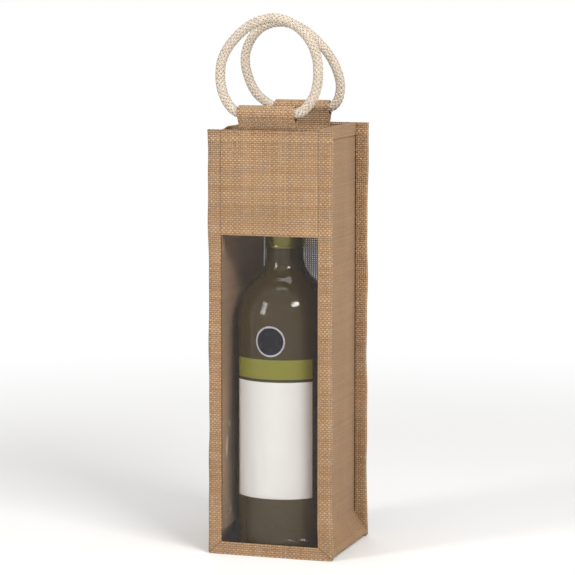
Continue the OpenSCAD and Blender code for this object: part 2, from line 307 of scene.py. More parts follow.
def settled(obj, sharp=50):
    """The object with its modifiers applied and edges sharper than so many degrees kept."""
    graph = bpy.context.evaluated_depsgraph_get()
    graph.update()
    mesh = bpy.data.meshes.new_from_object(obj.evaluated_get(graph))
    obj.modifiers.clear()
    obj.data = mesh
    mesh.polygons.foreach_set("use_smooth", [True] * len(mesh.polygons))
    mesh.set_sharp_from_angle(angle=math.radians(sharp))
    return obj


def lathe(name, profile, material, steps, radius=lambda r, z, angle: r, closed=False):
    """Turns a line of (radius, height) points round the bottle's axis. A line whose ends
    lie on the axis makes a closed solid, and a closed one makes a ring."""
    points, faces, rings = [], [], []
    for r, z in profile:
        count = 1 if r < 1e-7 else steps
        rings.append((len(points), count))
        for k in range(count):
            a = 2 * math.pi * k / steps
            rr = radius(r, z, a)
            points.append((rr * math.cos(a), BOTTLE_Y + rr * math.sin(a), BOTTLE_Z + z))
    pairs = list(zip(rings[:-1], rings[1:])) + ([(rings[-1], rings[0])] if closed else [])
    for (a, na), (b, nb) in pairs:
        for k in range(steps):
            n = (k + 1) % steps
            if na == 1:
                faces.append((a, b + n, b + k))
            elif nb == 1:
                faces.append((a + k, a + n, b))
            else:
                faces.append((a + k, a + n, b + n, b + k))
    obj = mesh_object(name, points, faces, material)
    obj.data.set_sharp_from_angle(angle=math.radians(35))
    return obj


def worn(obj, body, slot, *nodes):
    """Rides a finished piece on its body, in place of the CAD nodes that it stands for."""
    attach(obj, body)
    if nodes:
        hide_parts(*nodes)
    return obj


# ---- shader nodes ----


def add(tree, kind, inputs=None, **settings):
    """A node with its settings, and its inputs given as values or as sockets to link."""
    node = tree.nodes.new(kind)
    for key, value in settings.items():
        setattr(node, key, value)
    for key, value in (inputs or {}).items():
        if isinstance(value, bpy.types.NodeSocket):
            tree.links.new(value, node.inputs[key])
        else:
            node.inputs[key].default_value = value
    return node


def maths(tree, operation, *values, clamp=False):
    return add(tree, "ShaderNodeMath", dict(enumerate(values)), operation=operation,
               use_clamp=clamp).outputs[0]


def mixed(tree, factor, a, b, blend="MIX"):
    """Colour a turned into colour b by the factor."""
    colours = {k: v if isinstance(v, bpy.types.NodeSocket) else (*v, 1) for k, v in ((6, a), (7, b))}
    return add(tree, "ShaderNodeMix", {0: factor, **colours}, data_type="RGBA",
               blend_type=blend).outputs[2]


def ranged(tree, value, low, high, to_low=0.0, to_high=1.0):
    return add(tree, "ShaderNodeMapRange", {0: value, 1: low, 2: high, 3: to_low, 4: to_high},
               interpolation_type="SMOOTHSTEP").outputs[0]


def noise_at(tree, place, scale, detail=2.0, roughness=0.5):
    return add(tree, "ShaderNodeTexNoise", {
        "Vector": place, "Scale": scale, "Detail": detail, "Roughness": roughness,
    }).outputs[0]


def scaled(tree, place, factors):
    return add(tree, "ShaderNodeVectorMath", {0: place, 1: factors}, operation="MULTIPLY").outputs[0]


def flat_place(tree):
    return add(tree, "ShaderNodeUVMap", uv_map="UVMap").outputs[0]


def object_place(tree):
    return add(tree, "ShaderNodeTexCoord").outputs["Object"]


def bumped(tree, height, distance, strength=1.0):
    return add(tree, "ShaderNodeBump", {
        "Height": height, "Distance": distance, "Strength": strength}).outputs[0]


def new_material(name, **values):
    """A material, its tree and its surface node with plain socket values set."""
    made = bpy.data.materials.new(name)
    made.use_nodes = True
    surface = made.node_tree.nodes["Principled BSDF"]
    for key, value in values.items():
        surface.inputs[key.replace("_", " ")].default_value = value
    return made, made.node_tree, surface


def feed(tree, surface, **sockets):
    for key, socket in sockets.items():
        tree.links.new(socket, surface.inputs[key.replace("_", " ")])


def group_of(name, inputs, outputs):
    """An empty shader group with named number, colour or vector sockets."""
    tree = bpy.data.node_groups.new(name, "ShaderNodeTree")
    for label, default in inputs.items():
        kind = "NodeSocketVector" if default is None else "NodeSocketFloat"
        socket = tree.interface.new_socket(label, in_out="INPUT", socket_type=kind)
        if default is not None:
            socket.default_value = default
    for label in outputs:
        tree.interface.new_socket(label, in_out="OUTPUT", socket_type="NodeSocketFloat")
    return tree, tree.nodes.new("NodeGroupInput").outputs, tree.nodes.new("NodeGroupOutput").inputs


def plain_weave():
    """The group for woven cloth: the yarns' height, the holes between them, each yarn's
    tone and the fibres along it. Place is on the flat cloth, in metres."""
    if "plain_weave" in bpy.data.node_groups:
        return bpy.data.node_groups["plain_weave"]
    tree, given, out = group_of(
        "plain_weave",
        {"Place": None, "Warp Pitch": 0.0016, "Weft Pitch": 0.0016, "Yarn Width": 0.8,
         "Slub": 0.4, "Wander": 0.001},
        ("Height", "Hole", "Tone", "Fibre", "Warp"))

    drift = add(tree, "ShaderNodeTexNoise", {
        "Vector": given["Place"], "Scale": 45.0, "Detail": 4.0, "Roughness": 0.62})
    centred = add(tree, "ShaderNodeVectorMath", {0: drift.outputs["Color"], 1: (0.5, 0.5, 0.5)},
                  operation="SUBTRACT").outputs[0]
    reach = add(tree, "ShaderNodeVectorMath", {0: centred, "Scale": given["Wander"]},
                operation="SCALE").outputs[0]
    place = add(tree, "ShaderNodeVectorMath", {0: given["Place"], 1: reach},
                operation="ADD").outputs[0]
    axes = add(tree, "ShaderNodeSeparateXYZ", {0: place}).outputs

    def yarns(across, along, pitch_across, pitch_along, offset):
        """One set of yarns: its counts, round profile and random tone."""
        u = maths(tree, "DIVIDE", axes[across], given[pitch_across])
        v = maths(tree, "DIVIDE", axes[along], given[pitch_along])
        index = maths(tree, "FLOOR", u)
        off = maths(tree, "SUBTRACT", maths(tree, "SUBTRACT", u, index), 0.5)
        seed = maths(tree, "ADD", index, offset)
        tone = add(tree, "ShaderNodeTexWhiteNoise", {"W": seed}, noise_dimensions="1D").outputs[0]
        run = add(tree, "ShaderNodeCombineXYZ", {0: maths(tree, "MULTIPLY", seed, 7.31),
                                                 1: maths(tree, "MULTIPLY", v, 0.42)}).outputs[0]
        swell = noise_at(tree, run, 1.0, 3.0, 0.6)
        uneven = maths(tree, "SUBTRACT", maths(tree, "ADD", swell, maths(
            tree, "MULTIPLY", tone, 0.6)), 0.8)
        width = maths(tree, "MULTIPLY_ADD", uneven, given["Slub"], 1.0)
        half = maths(tree, "MULTIPLY", maths(tree, "MULTIPLY", width, given["Yarn Width"]), 0.5)
        share = maths(tree, "DIVIDE", off, half)
        profile = maths(tree, "SQRT", maths(tree, "SUBTRACT", 1.0, maths(
            tree, "MULTIPLY", share, share), clamp=True))
        strands = add(tree, "ShaderNodeCombineXYZ", {
            0: maths(tree, "MULTIPLY", u, 7.0), 1: v, 2: seed}).outputs[0]
        fibre = noise_at(tree, strands, 1.3, 3.0, 0.65)
        mottled = maths(tree, "ADD", maths(tree, "MULTIPLY", tone, 0.3),
                        maths(tree, "MULTIPLY", swell, 0.7))
        return {"index": index, "count": u, "profile": profile, "tone": mottled, "fibre": fibre}

    warp = yarns(0, 1, "Warp Pitch", "Weft Pitch", 11.5)
    weft = yarns(1, 0, "Weft Pitch", "Warp Pitch", 523.5)

    def lift(own, other):
        """+1 where this set passes over the other, and -1 where it passes under."""
        swing = maths(tree, "COSINE", maths(
            tree, "MULTIPLY", maths(tree, "SUBTRACT", other["count"], 0.5), math.pi))
        return maths(tree, "MULTIPLY", swing, maths(
            tree, "COSINE", maths(tree, "MULTIPLY", own["index"], math.pi)))

    warp_height = maths(tree, "MULTIPLY", warp["profile"], maths(
        tree, "MULTIPLY_ADD", lift(warp, weft), 0.42, 0.58))
    weft_height = maths(tree, "MULTIPLY", weft["profile"], maths(
        tree, "MULTIPLY_ADD", lift(weft, warp), -0.42, 0.58))
    on_top = maths(tree, "GREATER_THAN", warp_height, weft_height)

    def upper(key):
        return add(tree, "ShaderNodeMix", {0: on_top, 2: weft[key], 3: warp[key]}).outputs[0]

    cover = maths(tree, "MAXIMUM", warp["profile"], weft["profile"])
    tree.links.new(maths(tree, "MAXIMUM", warp_height, weft_height), out["Height"])
    tree.links.new(maths(tree, "LESS_THAN", cover, 0.05), out["Hole"])
    tree.links.new(upper("tone"), out["Tone"])
    tree.links.new(upper("fibre"), out["Fibre"])
    tree.links.new(on_top, out["Warp"])
    return tree


def folds(tree, place, lines):
    """1 along the pressed lines of a cloth and 0 away from them. Each line is where
    slope_u * |u| + slope_v * v is level, for v between two heights, in metres."""
    axes = add(tree, "ShaderNodeSeparateXYZ", {0: place}).outputs
    across, up = maths(tree, "ABSOLUTE", axes[0]), axes[1]
    mask = None
    for slope_u, slope_v, level, low, high in lines:
        off = maths(tree, "SUBTRACT", maths(tree, "ADD", maths(tree, "MULTIPLY", across, slope_u),
                                            maths(tree, "MULTIPLY", up, slope_v)), level)
        line = ranged(tree, maths(tree, "ABSOLUTE", off), 0.0, 0.9 * MM, 1.0, 0.0)
        inside = maths(tree, "MULTIPLY", maths(tree, "GREATER_THAN", up, low),
                       maths(tree, "LESS_THAN", up, high))
        line = maths(tree, "MULTIPLY", line, inside)
        mask = line if mask is None else maths(tree, "MAXIMUM", mask, line)
    return mask


def woven(name, light, dark, pitch, yarn_width, slub, wander, depth, contrast=1.0,
          see_through=1.0, warp_dim=1.0, pressed=(), open_width=0.0):
    """Cloth of plain-woven yarns with open holes between them, darkened where the yarns lie low and
    along any pressed lines as painted shade.
    """
    made, tree, surface = new_material(name, Roughness=0.92, Sheen_Weight=0.12, Sheen_Roughness=0.6,
                                       Specular_IOR_Level=0.25)
    place = flat_place(tree)
    weave = add(tree, "ShaderNodeGroup", node_tree=plain_weave())
    tree.links.new(place, weave.inputs["Place"])
    for key, value in (("Warp Pitch", pitch), ("Weft Pitch", pitch * 0.95), ("Yarn Width", yarn_width),
                       ("Slub", slub), ("Wander", wander)):
        weave.inputs[key].default_value = value
    if open_width:
        off = maths(tree, "ABSOLUTE", add(tree, "ShaderNodeSeparateXYZ", {0: place}).outputs[0])
        tree.links.new(ranged(tree, off, WALL_X - 1.5 * MM, WALL_X - 0.5 * MM, open_width, yarn_width),
                       weave.inputs["Yarn Width"])
    height, hole, tone, fibre, warp = weave.outputs
    patch = noise_at(tree, place, 22.0, 3.0, 0.6)
    mood = maths(tree, "ADD", maths(tree, "MULTIPLY", tone, 0.55 * contrast), maths(
        tree, "ADD", maths(tree, "MULTIPLY", fibre, 0.5 * contrast), maths(
            tree, "MULTIPLY", patch, 0.3)))
    yarn = mixed(tree, ranged(tree, mood, 0.35 * contrast, 0.95 * contrast + 0.1), dark, light)
    # Painted shade: darker where the yarns lie low, down to 0.36 between them; warp_dim gives the warp
    # yarns a darker tone.
    shade = maths(tree, "MULTIPLY", ranged(tree, height, 0.0, 0.8, 0.36, 1.0),
                  ranged(tree, warp, 0.0, 1.0, 1.0, warp_dim))
    relief = maths(tree, "ADD", height, maths(tree, "MULTIPLY", fibre, 0.25))
    if pressed:
        crease = folds(tree, place, pressed)
        # Painted shade along the pressed lines: the colour darkens to 0.72 there, beside the lines'
        # real dent in the bump.
        shade = maths(tree, "MULTIPLY", shade, ranged(tree, crease, 0.0, 1.0, 1.0, 0.72))
        relief = maths(tree, "SUBTRACT", relief, crease)
    shaded = mixed(tree, 1.0, yarn, add(tree, "ShaderNodeCombineXYZ", {
        0: shade, 1: shade, 2: shade}).outputs[0], "MULTIPLY")
    feed(tree, surface, Base_Color=shaded, Normal=bumped(tree, relief, depth),
         Roughness=ranged(tree, fibre, 0.2, 0.8, 0.82, 0.97))
    if see_through:
        feed(tree, surface, Alpha=maths(tree, "SUBTRACT", 1.0, maths(
            tree, "MULTIPLY", hole, see_through)))
    return made


def jute_cloth(sizes, colours, name="Coarse Jute", pressed=(), open_width=0.0):
    if name in bpy.data.materials:
        return bpy.data.materials[name]
    return woven(name, colours.jute, colours.jute_dark, sizes.jute_pitch, CLOSE_YARN, 0.45,
                 0.9 * MM, 0.55 * MM, warp_dim=0.72, pressed=pressed, open_width=open_width)


def twine(name, colour, strand, roughness=0.85, lane=0.0):
    """Spun cotton or thread, with fibres that run along the piece's UV. Where strands lie
    in lanes of the UV, their sides and the grooves between their yarns are darkened as painted shade."""
    made, tree, surface = new_material(name, Roughness=roughness, Sheen_Weight=0.2,
                                       Sheen_Roughness=0.5, Specular_IOR_Level=0.3)
    place = flat_place(tree)
    turned = add(tree, "ShaderNodeVectorRotate", {"Vector": place, "Angle": 0.5},
                 rotation_type="Z_AXIS").outputs[0]
    fibre = noise_at(tree, scaled(tree, turned, (0.35 / strand, 3.0 / strand, 1)), 1.0, 4.0, 0.6)
    soil = noise_at(tree, place, 60.0, 3.0)
    dim = tuple(c * 0.72 for c in colour)
    base = mixed(tree, ranged(tree, maths(tree, "MULTIPLY_ADD", soil, 0.4, fibre), 0.3, 1.0),
                 dim, colour)
    if lane:
        around = add(tree, "ShaderNodeSeparateXYZ", {0: place}).outputs[1]
        local = maths(tree, "DIVIDE", maths(tree, "FLOORED_MODULO", around, lane), STRAND_GIRTH)
        side = maths(tree, "ABSOLUTE", maths(tree, "SUBTRACT", local, 0.25))
        yarns = maths(tree, "ABSOLUTE", maths(tree, "SINE", maths(
            tree, "MULTIPLY", around, math.pi / YARN_W)))
        fibre = maths(tree, "MULTIPLY_ADD", fibre, 0.6, yarns)
        # Painted shade in the grooves between the yarns, which also dent the bump.
        base = mixed(tree, ranged(tree, yarns, 0.0, 0.7, 0.25, 0.0), base,
                     tuple(c * 0.6 for c in colour))
        # Painted shade at the sides of each strand, where it meets its neighbours.
        base = mixed(tree, ranged(tree, side, 0.12, 0.25), base, tuple(c * 0.34 for c in colour))
    feed(tree, surface, Base_Color=base, Normal=bumped(tree, fibre, strand * 0.25))
    return made


# ---- cloth pieces ----


def panel_turn(slot):
    """Radius and centre depth of the turned-back side of a panel, along its middle layer."""
    outer, fold = CLOTH_T / 2, JUTE_T * 2 + slot - CLOTH_T / 2
    return (fold - outer) / 2, (fold + outer) / 2


def build_panel(name, y_out, inward, slot, window, sizes, colours):
    """A panel with its sides turned back, its top hem and, in front, the window."""
    radius, middle = panel_turn(slot)
    centre = HALF_W - radius - CLOTH_T / 2
    step = sizes.cloth_step
    flat = joined(spread(-centre, -WALL_X, step), spread(-WALL_X, WALL_X, step),
                  spread(WALL_X, centre, step))
    right_turn = arc(centre, middle, radius, -90, 90, 6)
    right_fold = spread(centre, TURN_X, step)[1:]
    right = np.concatenate([right_turn[1:], np.column_stack([
        right_fold, np.full(len(right_fold), middle + radius)])])
    left = right[::-1] * (-1, 1)
    line = np.concatenate([left, np.column_stack([flat, np.full(len(flat), CLOTH_T / 2)]), right])
    us = run_lengths(line) - run_lengths(line)[-1] / 2
    hem_x, fold_r = WALL_X - GUSSET_T - 0.2 * MM, JUTE_T - CLOTH_T / 2
    top = BAG_H - fold_r - CLOTH_T / 2
    levels = joined(spread(0, WINDOW_Z0, 1.7 * MM), spread(WINDOW_Z0, WINDOW_Z1, step),
                    spread(WINDOW_Z1, top, step))
    over = np.concatenate([arc(fold_r, top, fold_r, 180, 0, 6),
                           [[2 * fold_r, z] for z in spread(top, BAG_H - HEM_H, step)[1:]]])
    over_v = top + run_lengths(over)

    def corner(x, z):
        """Height of a point moved up to round the panel's lower corners."""
        past = max(0.0, abs(x) - (HALF_W - CORNER_R))
        low = CORNER_R - math.sqrt(max(0.0, CORNER_R ** 2 - past ** 2))
        return low + z * (CORNER_R - low) / CORNER_R if z < CORNER_R else z

    def at(x, depth, z):
        return (x, y_out + inward * depth, corner(x, z))

    def on_line(u):
        return np.interp(u, us, line[:, 0]), np.interp(u, us, line[:, 1])

    def main(u, z):
        return at(*on_line(u), z)

    def hem(u, v):
        return at(on_line(u)[0], np.interp(v, over_v, over[:, 0]) + CLOTH_T / 2,
                  np.interp(v, over_v, over[:, 1]))

    half_flat = us[len(left)]
    inner = [u for u in us if abs(on_line(u)[0]) <= hem_x and abs(u) < abs(half_flat)]
    sides = [[u for u in us if s * u >= s * inner[-1 if s > 0 else 0]] for s in (-1, 1)]
    cloth = Cloth()
    opening = (lambda u, z: abs(u) > WALL_X or not WINDOW_Z0 < z < WINDOW_Z1) if window \
        else (lambda u, z: True)
    cloth.grid(main, us, levels, opening)
    for run in sides:
        cloth.grid(main, run, [top, BAG_H])
    cloth.grid(hem, inner, over_v)
    # Pressed lines down the window's sides and along its mitred lower corners, dented in the bump and
    # darkened as painted shade.
    mitre = math.hypot(WINDOW_Z0, HALF_W - WALL_X)
    slope_u, slope_v = WINDOW_Z0 / mitre, (HALF_W - WALL_X) / mitre
    pressed = [(1, 0, WALL_X, WINDOW_Z1, BAG_H), (slope_u, slope_v, slope_u * HALF_W, 0, WINDOW_Z0)]
    jute = jute_cloth(sizes, colours, "Jute With Painted Crease Shade", pressed) if window \
        else jute_cloth(sizes, colours, "Open Jute", open_width=OPEN_YARN)
    return cloth.object(name, jute, CLOTH_T, move=lambda p: drape(p, sizes.sway))


def build_panels(sizes, colours):
    front = build_panel("FrontPanel", FRONT_Y, 1, GUSSET_T + FILM_T, True, sizes, colours)
    back = build_panel("BackPanel", BACK_Y, -1, GUSSET_T, False, sizes, colours)
    width, length = 2 * HALF_W + 22 * MM, BAG_H + HEM_H
    hole = 2 * WALL_X * (WINDOW_Z1 - WINDOW_Z0)
    for obj, node, area in ((front, "front_panel", width * length - hole),
                            (back, "back_panel", width * length)):
        worn(obj, "bag", "jute", node)


def gusset_line(step):
    """Middle line of the gusset from its left hem, round the foot, to its right one."""
    x = WALL_X - GUSSET_T / 2
    foot = arc(HALF_W - JUTE_T - FOOT_R, FOOT_R, FOOT_R - GUSSET_T / 2, 30, -90, 8)
    half = np.concatenate([[[x, BAG_H - GUSSET_T], [x, FLARE_H + 4 * MM], [x + 0.3 * MM, FLARE_H]],
                           foot, [[0, GUSSET_T / 2]]])
    half = resampled(half, step)
    return np.concatenate([half * (-1, 1), half[-2::-1]])


def build_gusset(sizes, colours):
    """The strip down one side, under the foot and up the other, with its turned edges."""
    step = sizes.cloth_step
    line = gusset_line(step)
    us = run_lengths(line) - run_lengths(line)[-1] / 2
    y0, y1 = FRONT_Y + JUTE_T + FILM_T + GUSSET_T / 2, BACK_Y - JUTE_T - GUSSET_T / 2
    ys = spread(y0, y1, 2.6 * MM)

    def on_line(u):
        return np.interp(u, us, line[:, 0]), np.interp(u, us, line[:, 1])

    def main(u, y):
        x, z = on_line(u)
        return (x, y, z)

    cloth = Cloth().grid(main, us, ys)
    reach = HALF_W - JUTE_T - 0.4 * MM
    side_runs = [[u for u in us if s * u > 0 and on_line(u)[1] > FLARE_H * 0.45] for s in (-1, 1)]
    for run in side_runs:
        for edge, way in ((y0, -1), (y1, 1)):
            def flange(u, v, edge=edge, way=way):
                x, z = on_line(u)
                share = abs(v - edge) / (reach - WALL_X)
                out = share * max(1 * MM, reach - abs(x))
                return (math.copysign(abs(x) + out, x), edge, z)
            cloth.grid(flange, run, edge + way * spread(0, reach - WALL_X, 2 * MM))
    top = BAG_H - GUSSET_T
    hem_y = spread(FRONT_Y + 3.8 * MM, BACK_Y - 3.5 * MM, 2.6 * MM)
    over = np.concatenate([arc(0, top, GUSSET_T / 2 + 0.02 * MM, 180, 0, 6),
                           [[GUSSET_T / 2 + 0.02 * MM, z]
                            for z in spread(top, BAG_H - HEM_H, step)[1:]]])
    over_u = run_lengths(over)
    for s in (-1, 1):
        def hem(u, y, s=s):
            return (s * (WALL_X + np.interp(u, over_u, over[:, 0])), y,
                    np.interp(u, over_u, over[:, 1]))
        cloth.grid(hem, over_u, hem_y)
    fabric = woven("Gusset Cloth", colours.gusset, colours.gusset_dark, sizes.gusset_pitch, 0.97,
                   0.25, 0.5 * MM, 0.2 * MM, contrast=0.8, see_through=0.0)
    obj = cloth.object("Gusset", fabric, GUSSET_T, move=lambda p: drape(p, sizes.sway))
    worn(obj, "bag", "gusset_cloth", "gusset")


def build_tabs(sizes, colours):
    """A strip of jute looped over each rope, with its two ends sewn in under the hem."""
    for name, node, route, way in (("FrontTab", "front_handle_tab", FRONT_ROUTE, 1),
                                   ("BackTab", "back_handle_tab", BACK_ROUTE, -1)):
        y_out = -way * BACK_Y
        tail = JUTE_T * 2.5
        second_tail = tail + JUTE_T + 0.1 * MM
        tip = math.degrees(math.atan2(10, 33))
        ring = arc(SLEEVE_SET, SLEEVE_Z, SLEEVE_R, 180 + tip + 14, -tip - 14, 22)
        line = np.concatenate([
            [[tail, TAIL_Z], [tail, BAG_H - 1 * MM]], ring,
            [[second_tail, BAG_H - 1 * MM], [second_tail, TAIL_Z]]])
        line = resampled(line, 1.6 * MM)
        vs = run_lengths(line)
        x0, x1 = (route[0][0] - 0.5) * MM, (route[-1][0] + 0.5) * MM
        us = spread(x0, x1, 1.8 * MM)

        def place(u, v):
            depth, z = np.interp(v, vs, line[:, 0]), np.interp(v, vs, line[:, 1])
            narrow = 1 - 0.022 * float(ease(z, BAG_H, SLEEVE_Z + SLEEVE_R))
            middle = (x0 + x1) / 2
            return (middle + (u - middle) * narrow, y_out + way * depth, z)

        obj = Cloth().grid(place, us, vs).object(
            name, jute_cloth(sizes, colours), JUTE_T * 0.98)
        worn(obj, "bag", "jute", node)


# ---- window ----

# Creases of the film: start x, z, end x, z, width and height, in millimetres
CREASES = [
    (-37, 228, -30, 196, 1.6, 0.5), (-31, 214, -27, 188, 1.2, 0.4), (-26, 120, -36, 60, 1.8, 0.6),
    (-33, 96, -29, 62, 1.4, 0.5), (-37, 60, -20, 14, 2.2, 0.8), (-28, 40, -36, 16, 1.6, 0.7),
    (-4, 236, 6, 212, 1.3, 0.5), (6, 214, 3, 198, 1.2, 0.4), (-14, 196, -8, 172, 1.6, 0.5),
    (-18, 206, -13, 182, 1.3, 0.45), (-2, 190, -10, 162, 1.5, 0.5), (24, 236, 30, 150, 2.0, 0.35),
    (-37, 92, -37, 40, 1.6, 0.5), (2, 34, 22, 26, 2.6, 0.9), (22, 26, 34, 14, 2.4, 0.9),
    (8, 16, 34, 20, 2.2, 0.8), (-20, 38, 12, 16, 4.5, 0.6), (-10, 50, 24, 44, 4.0, 0.5),
    (30, 70, 36, 22, 2.4, 0.6), (-37, 160, -33, 118, 1.8, 0.4), (34, 200, 36, 110, 2.4, 0.3),
    (7, 237, 11, 229, 1.1, 0.6), (11, 230, 16, 221, 1.1, 0.6), (-18, 203, -6, 226, 1.1, 0.45),
    (-5, 219, 1, 205, 1.1, 0.5), (3, 197, 3, 184, 1.0, 0.5), (-36, 117, -22, 88, 1.1, 0.5),
    (-39, 36, -29, 27, 1.2, 0.6), (-29, 27, -28, 13, 1.2, 0.6), (14, 17, 33, 12, 1.2, 0.6),
]


def wrinkled(x, z, lines):
    """The sum of wrinkles along lines at points given in millimetres."""
    lift = np.zeros_like(x)
    for x0, z0, x1, z1, width, height in lines:
        dx, dz = x1 - x0, z1 - z0
        t = np.clip(((x - x0) * dx + (z - z0) * dz) / (dx * dx + dz * dz), 0, 1)
        bow = np.sin(t * np.pi) * 1.8 + np.sin(t * 9 + x0) * 0.5
        side = ((x - x0) * dz - (z - z0) * dx) / math.hypot(dx, dz)
        along = np.hypot(x - x0 - t * dx, z - z0 - t * dz)
        off = np.where((t > 0) & (t < 1), abs(side - bow), along)
        taper = np.sin(np.clip(t, 0.02, 0.98) * np.pi) ** 0.5
        lift += height * taper * np.exp(-(off / width) ** 2)
    return lift


def film_lift(x, z):
    """How far the film stands out from flat at points given in millimetres."""
    lift = wrinkled(x, z, CREASES)
    rolling = [0.35 * noise.noise((a / 16, 3.0, b / 22)) + 0.12 * noise.noise((a / 6, 8.0, b / 7))
               for a, b in zip(x, z)]
    low = 0.5 * ease(70 - z, 0, 50)
    return np.clip(0.3 + lift + np.array(rolling) * (1 + low), 0.05, 2.2)


def build_film(sizes):
    """Clear film behind the window, pinned at its edges and wrinkled between them."""
    made, tree, surface = new_material(
        "Clear Film", Base_Color=(1, 1, 1, 1), Metallic=1.0, Roughness=0.045)
    gloss = add(tree, "ShaderNodeFresnel", {"IOR": 1.5}).outputs[0]
    feed(tree, surface, Alpha=maths(tree, "MULTIPLY", gloss, 0.35, clamp=True))
    haze = noise_at(tree, flat_place(tree), 300.0, 3.0)
    feed(tree, surface, Roughness=ranged(tree, haze, 0.35, 0.75, 0.03, 0.09))
    xs = spread(FILM_LO.x + 0.5 * MM, FILM_HI.x - 0.5 * MM, sizes.film_step)
    zs = spread(FILM_LO.z, FILM_HI.z, sizes.film_step)
    middle = (FILM_LO.y + FILM_HI.y) / 2
    cloth = Cloth().grid(lambda x, z: (x, middle, z), xs, zs)

    def wrinkle(points):
        x, _, z = points.T
        inside = (ease(WALL_X - abs(x), 0.3 * MM, 7 * MM)
                  * ease(np.minimum(z - WINDOW_Z0, WINDOW_Z1 - z), 0.3 * MM, 7 * MM))
        moved = points.copy()
        moved[:, 1] -= film_lift(x / MM, z / MM) * inside * MM
        return drape(moved, sizes.sway)

    obj = cloth.object("WindowFilm", made, 0.12 * MM, edge=0, move=wrinkle)
    worn(obj, "bag", "clear_film", "window_film")


# ---- ropes ----


def smooth_route(route, steps=10):
    """Points of a smooth line through a route, which leaves both ends level."""
    p = [np.array(q, float) for q in route]
    before = np.array([2 * p[0][0] - p[1][0], p[1][1]])
    after = np.array([2 * p[-1][0] - p[-2][0], p[-2][1]])
    q = [before, *p, after]
    points = []
    for i in range(1, len(q) - 2):
        a, b, c, d = q[i - 1], q[i], q[i + 1], q[i + 2]
        for k in range(steps):
            t = k / steps
            points.append(0.5 * (2 * b + (c - a) * t + (2 * a - 5 * b + 4 * c - d) * t * t
                                 + (3 * b - a - 3 * c + d) * t ** 3))
    return np.array([*points, p[-1]])


def even_line(points, step):
    """A line's points again, exactly evenly spaced."""
    along = run_lengths(points)
    at = spread(0, along[-1], step)
    return np.column_stack([np.interp(at, along, points[:, k]) for k in range(points.shape[1])])


def tube(points, faces, uvs, centres, sides, normals, shape, count, start_u):
    """Adds one closed tube: shape(k) gives the angle's reach sideways and outwards."""
    first = len(points)
    ring = [shape(2 * math.pi * k / count) for k in range(count)]
    for c, s, n in zip(centres, sides, normals):
        points += [c + s * a + n * b for a, b in ring]
    along = run_lengths(np.array(centres))
    around = sum(math.dist(ring[k], ring[k - 1]) for k in range(count))
    for i in range(len(centres) - 1):
        for k in range(count):
            a, b = first + i * count + k, first + i * count + (k + 1) % count
            faces.append((a, b, b + count, a + count))
            v0, v1 = start_u + around * k / count, start_u + around * (k + 1) / count
            uvs += [(along[i], v0), (along[i], v1), (along[i + 1], v1), (along[i + 1], v0)]
    for base, order in ((first, reversed(range(count))),
                        (first + (len(centres) - 1) * count, range(count))):
        cap = tuple(base + k for k in order)
        faces.append(cap)
        uvs += [(0, start_u)] * count


def build_rope(name, route, y, body, nodes, sizes, material):
    """A hollow braid over its core, along the route and back through the sleeve."""
    middle = (route[0][0] + route[-1][0]) / 2
    ring = np.concatenate([[[middle - 0.01, 0]], smooth_route(route), [[middle + 0.01, 0]]])
    line = even_line(ring, 1.05)
    centre = np.column_stack([line[:, 0], np.zeros(len(line)), line[:, 1]]) * MM
    centre += (0, y, SLEEVE_Z)
    along = run_lengths(centre)
    ahead = np.gradient(centre, axis=0)
    ahead /= np.linalg.norm(ahead, axis=1)[:, None]
    flat = np.column_stack([-ahead[:, 2], np.zeros(len(line)), ahead[:, 0]])
    out = np.tile([0.0, 1.0, 0.0], (len(line), 1))
    points, faces, uvs = [], [], []
    core = ROPE_R * 0.72
    tube(points, faces, uvs, centre, flat, out,
         lambda a: (core * math.cos(a), core * math.sin(a)), 12, 0)
    ride, sway_in = ROPE_R * 0.755, ROPE_R * 0.085
    for way in (1, -1):
        for k in range(sizes.braid_strands):
            angle = way * 2 * math.pi * along / sizes.braid_pitch \
                + 2 * math.pi * k / sizes.braid_strands
            over = np.cos(2 * math.pi * along * sizes.braid_strands / sizes.braid_pitch)
            radius = (ride + way * sway_in * over)[:, None]
            radial = flat * np.cos(angle)[:, None] + out * np.sin(angle)[:, None]
            strand = centre + radial * radius
            run = np.gradient(strand, axis=0)
            run /= np.linalg.norm(run, axis=1)[:, None]
            across = np.cross(radial, run)
            tube(points, faces, uvs, strand, across, radial,
                 lambda a: (STRAND_W * math.cos(a), STRAND_T * math.sin(a)), 8,
                 LANE * (k + 1 + (sizes.braid_strands if way > 0 else 0)))
    obj = mesh_object(name, points, faces, material, uvs)
    outward(obj.data)
    worn(obj, body, "rope", nodes[0])
    tuple(centre[0])
    return obj


def outward(mesh):
    """Turns the faces of closed pieces outwards."""
    bm = bmesh.new()
    bm.from_mesh(mesh)
    bmesh.ops.recalc_face_normals(bm, faces=bm.faces)
    bm.to_mesh(mesh)
    bm.free()


def build_ropes(sizes, colours):
    cotton = twine("Braided Cotton", colours.rope, 1.1 * MM, lane=LANE)
    tape, tree, surface = new_material("Joining Tape", Roughness=0.5)
    weave = noise_at(tree, object_place(tree), 900.0, 2.0)
    feed(tree, surface, Base_Color=mixed(tree, weave, tuple(c * 0.85 for c in colours.tape),
                                         colours.tape), Normal=bumped(tree, weave, 0.1 * MM))
    for name, route, way, body, nodes in (
            ("FrontRope", FRONT_ROUTE, -1, "front_handle", ("front_rope", "front_rope_joint")),
            ("BackRope", BACK_ROUTE, 1, "back_handle", ("back_rope", "back_rope_joint"))):
        build_rope(name, route, way * (BACK_Y - SLEEVE_SET), body, nodes, sizes, cotton)
        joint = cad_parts[nodes[1]]
        joint.data.materials.clear()
        joint.data.materials.append(tape)


# ---- sewing ----


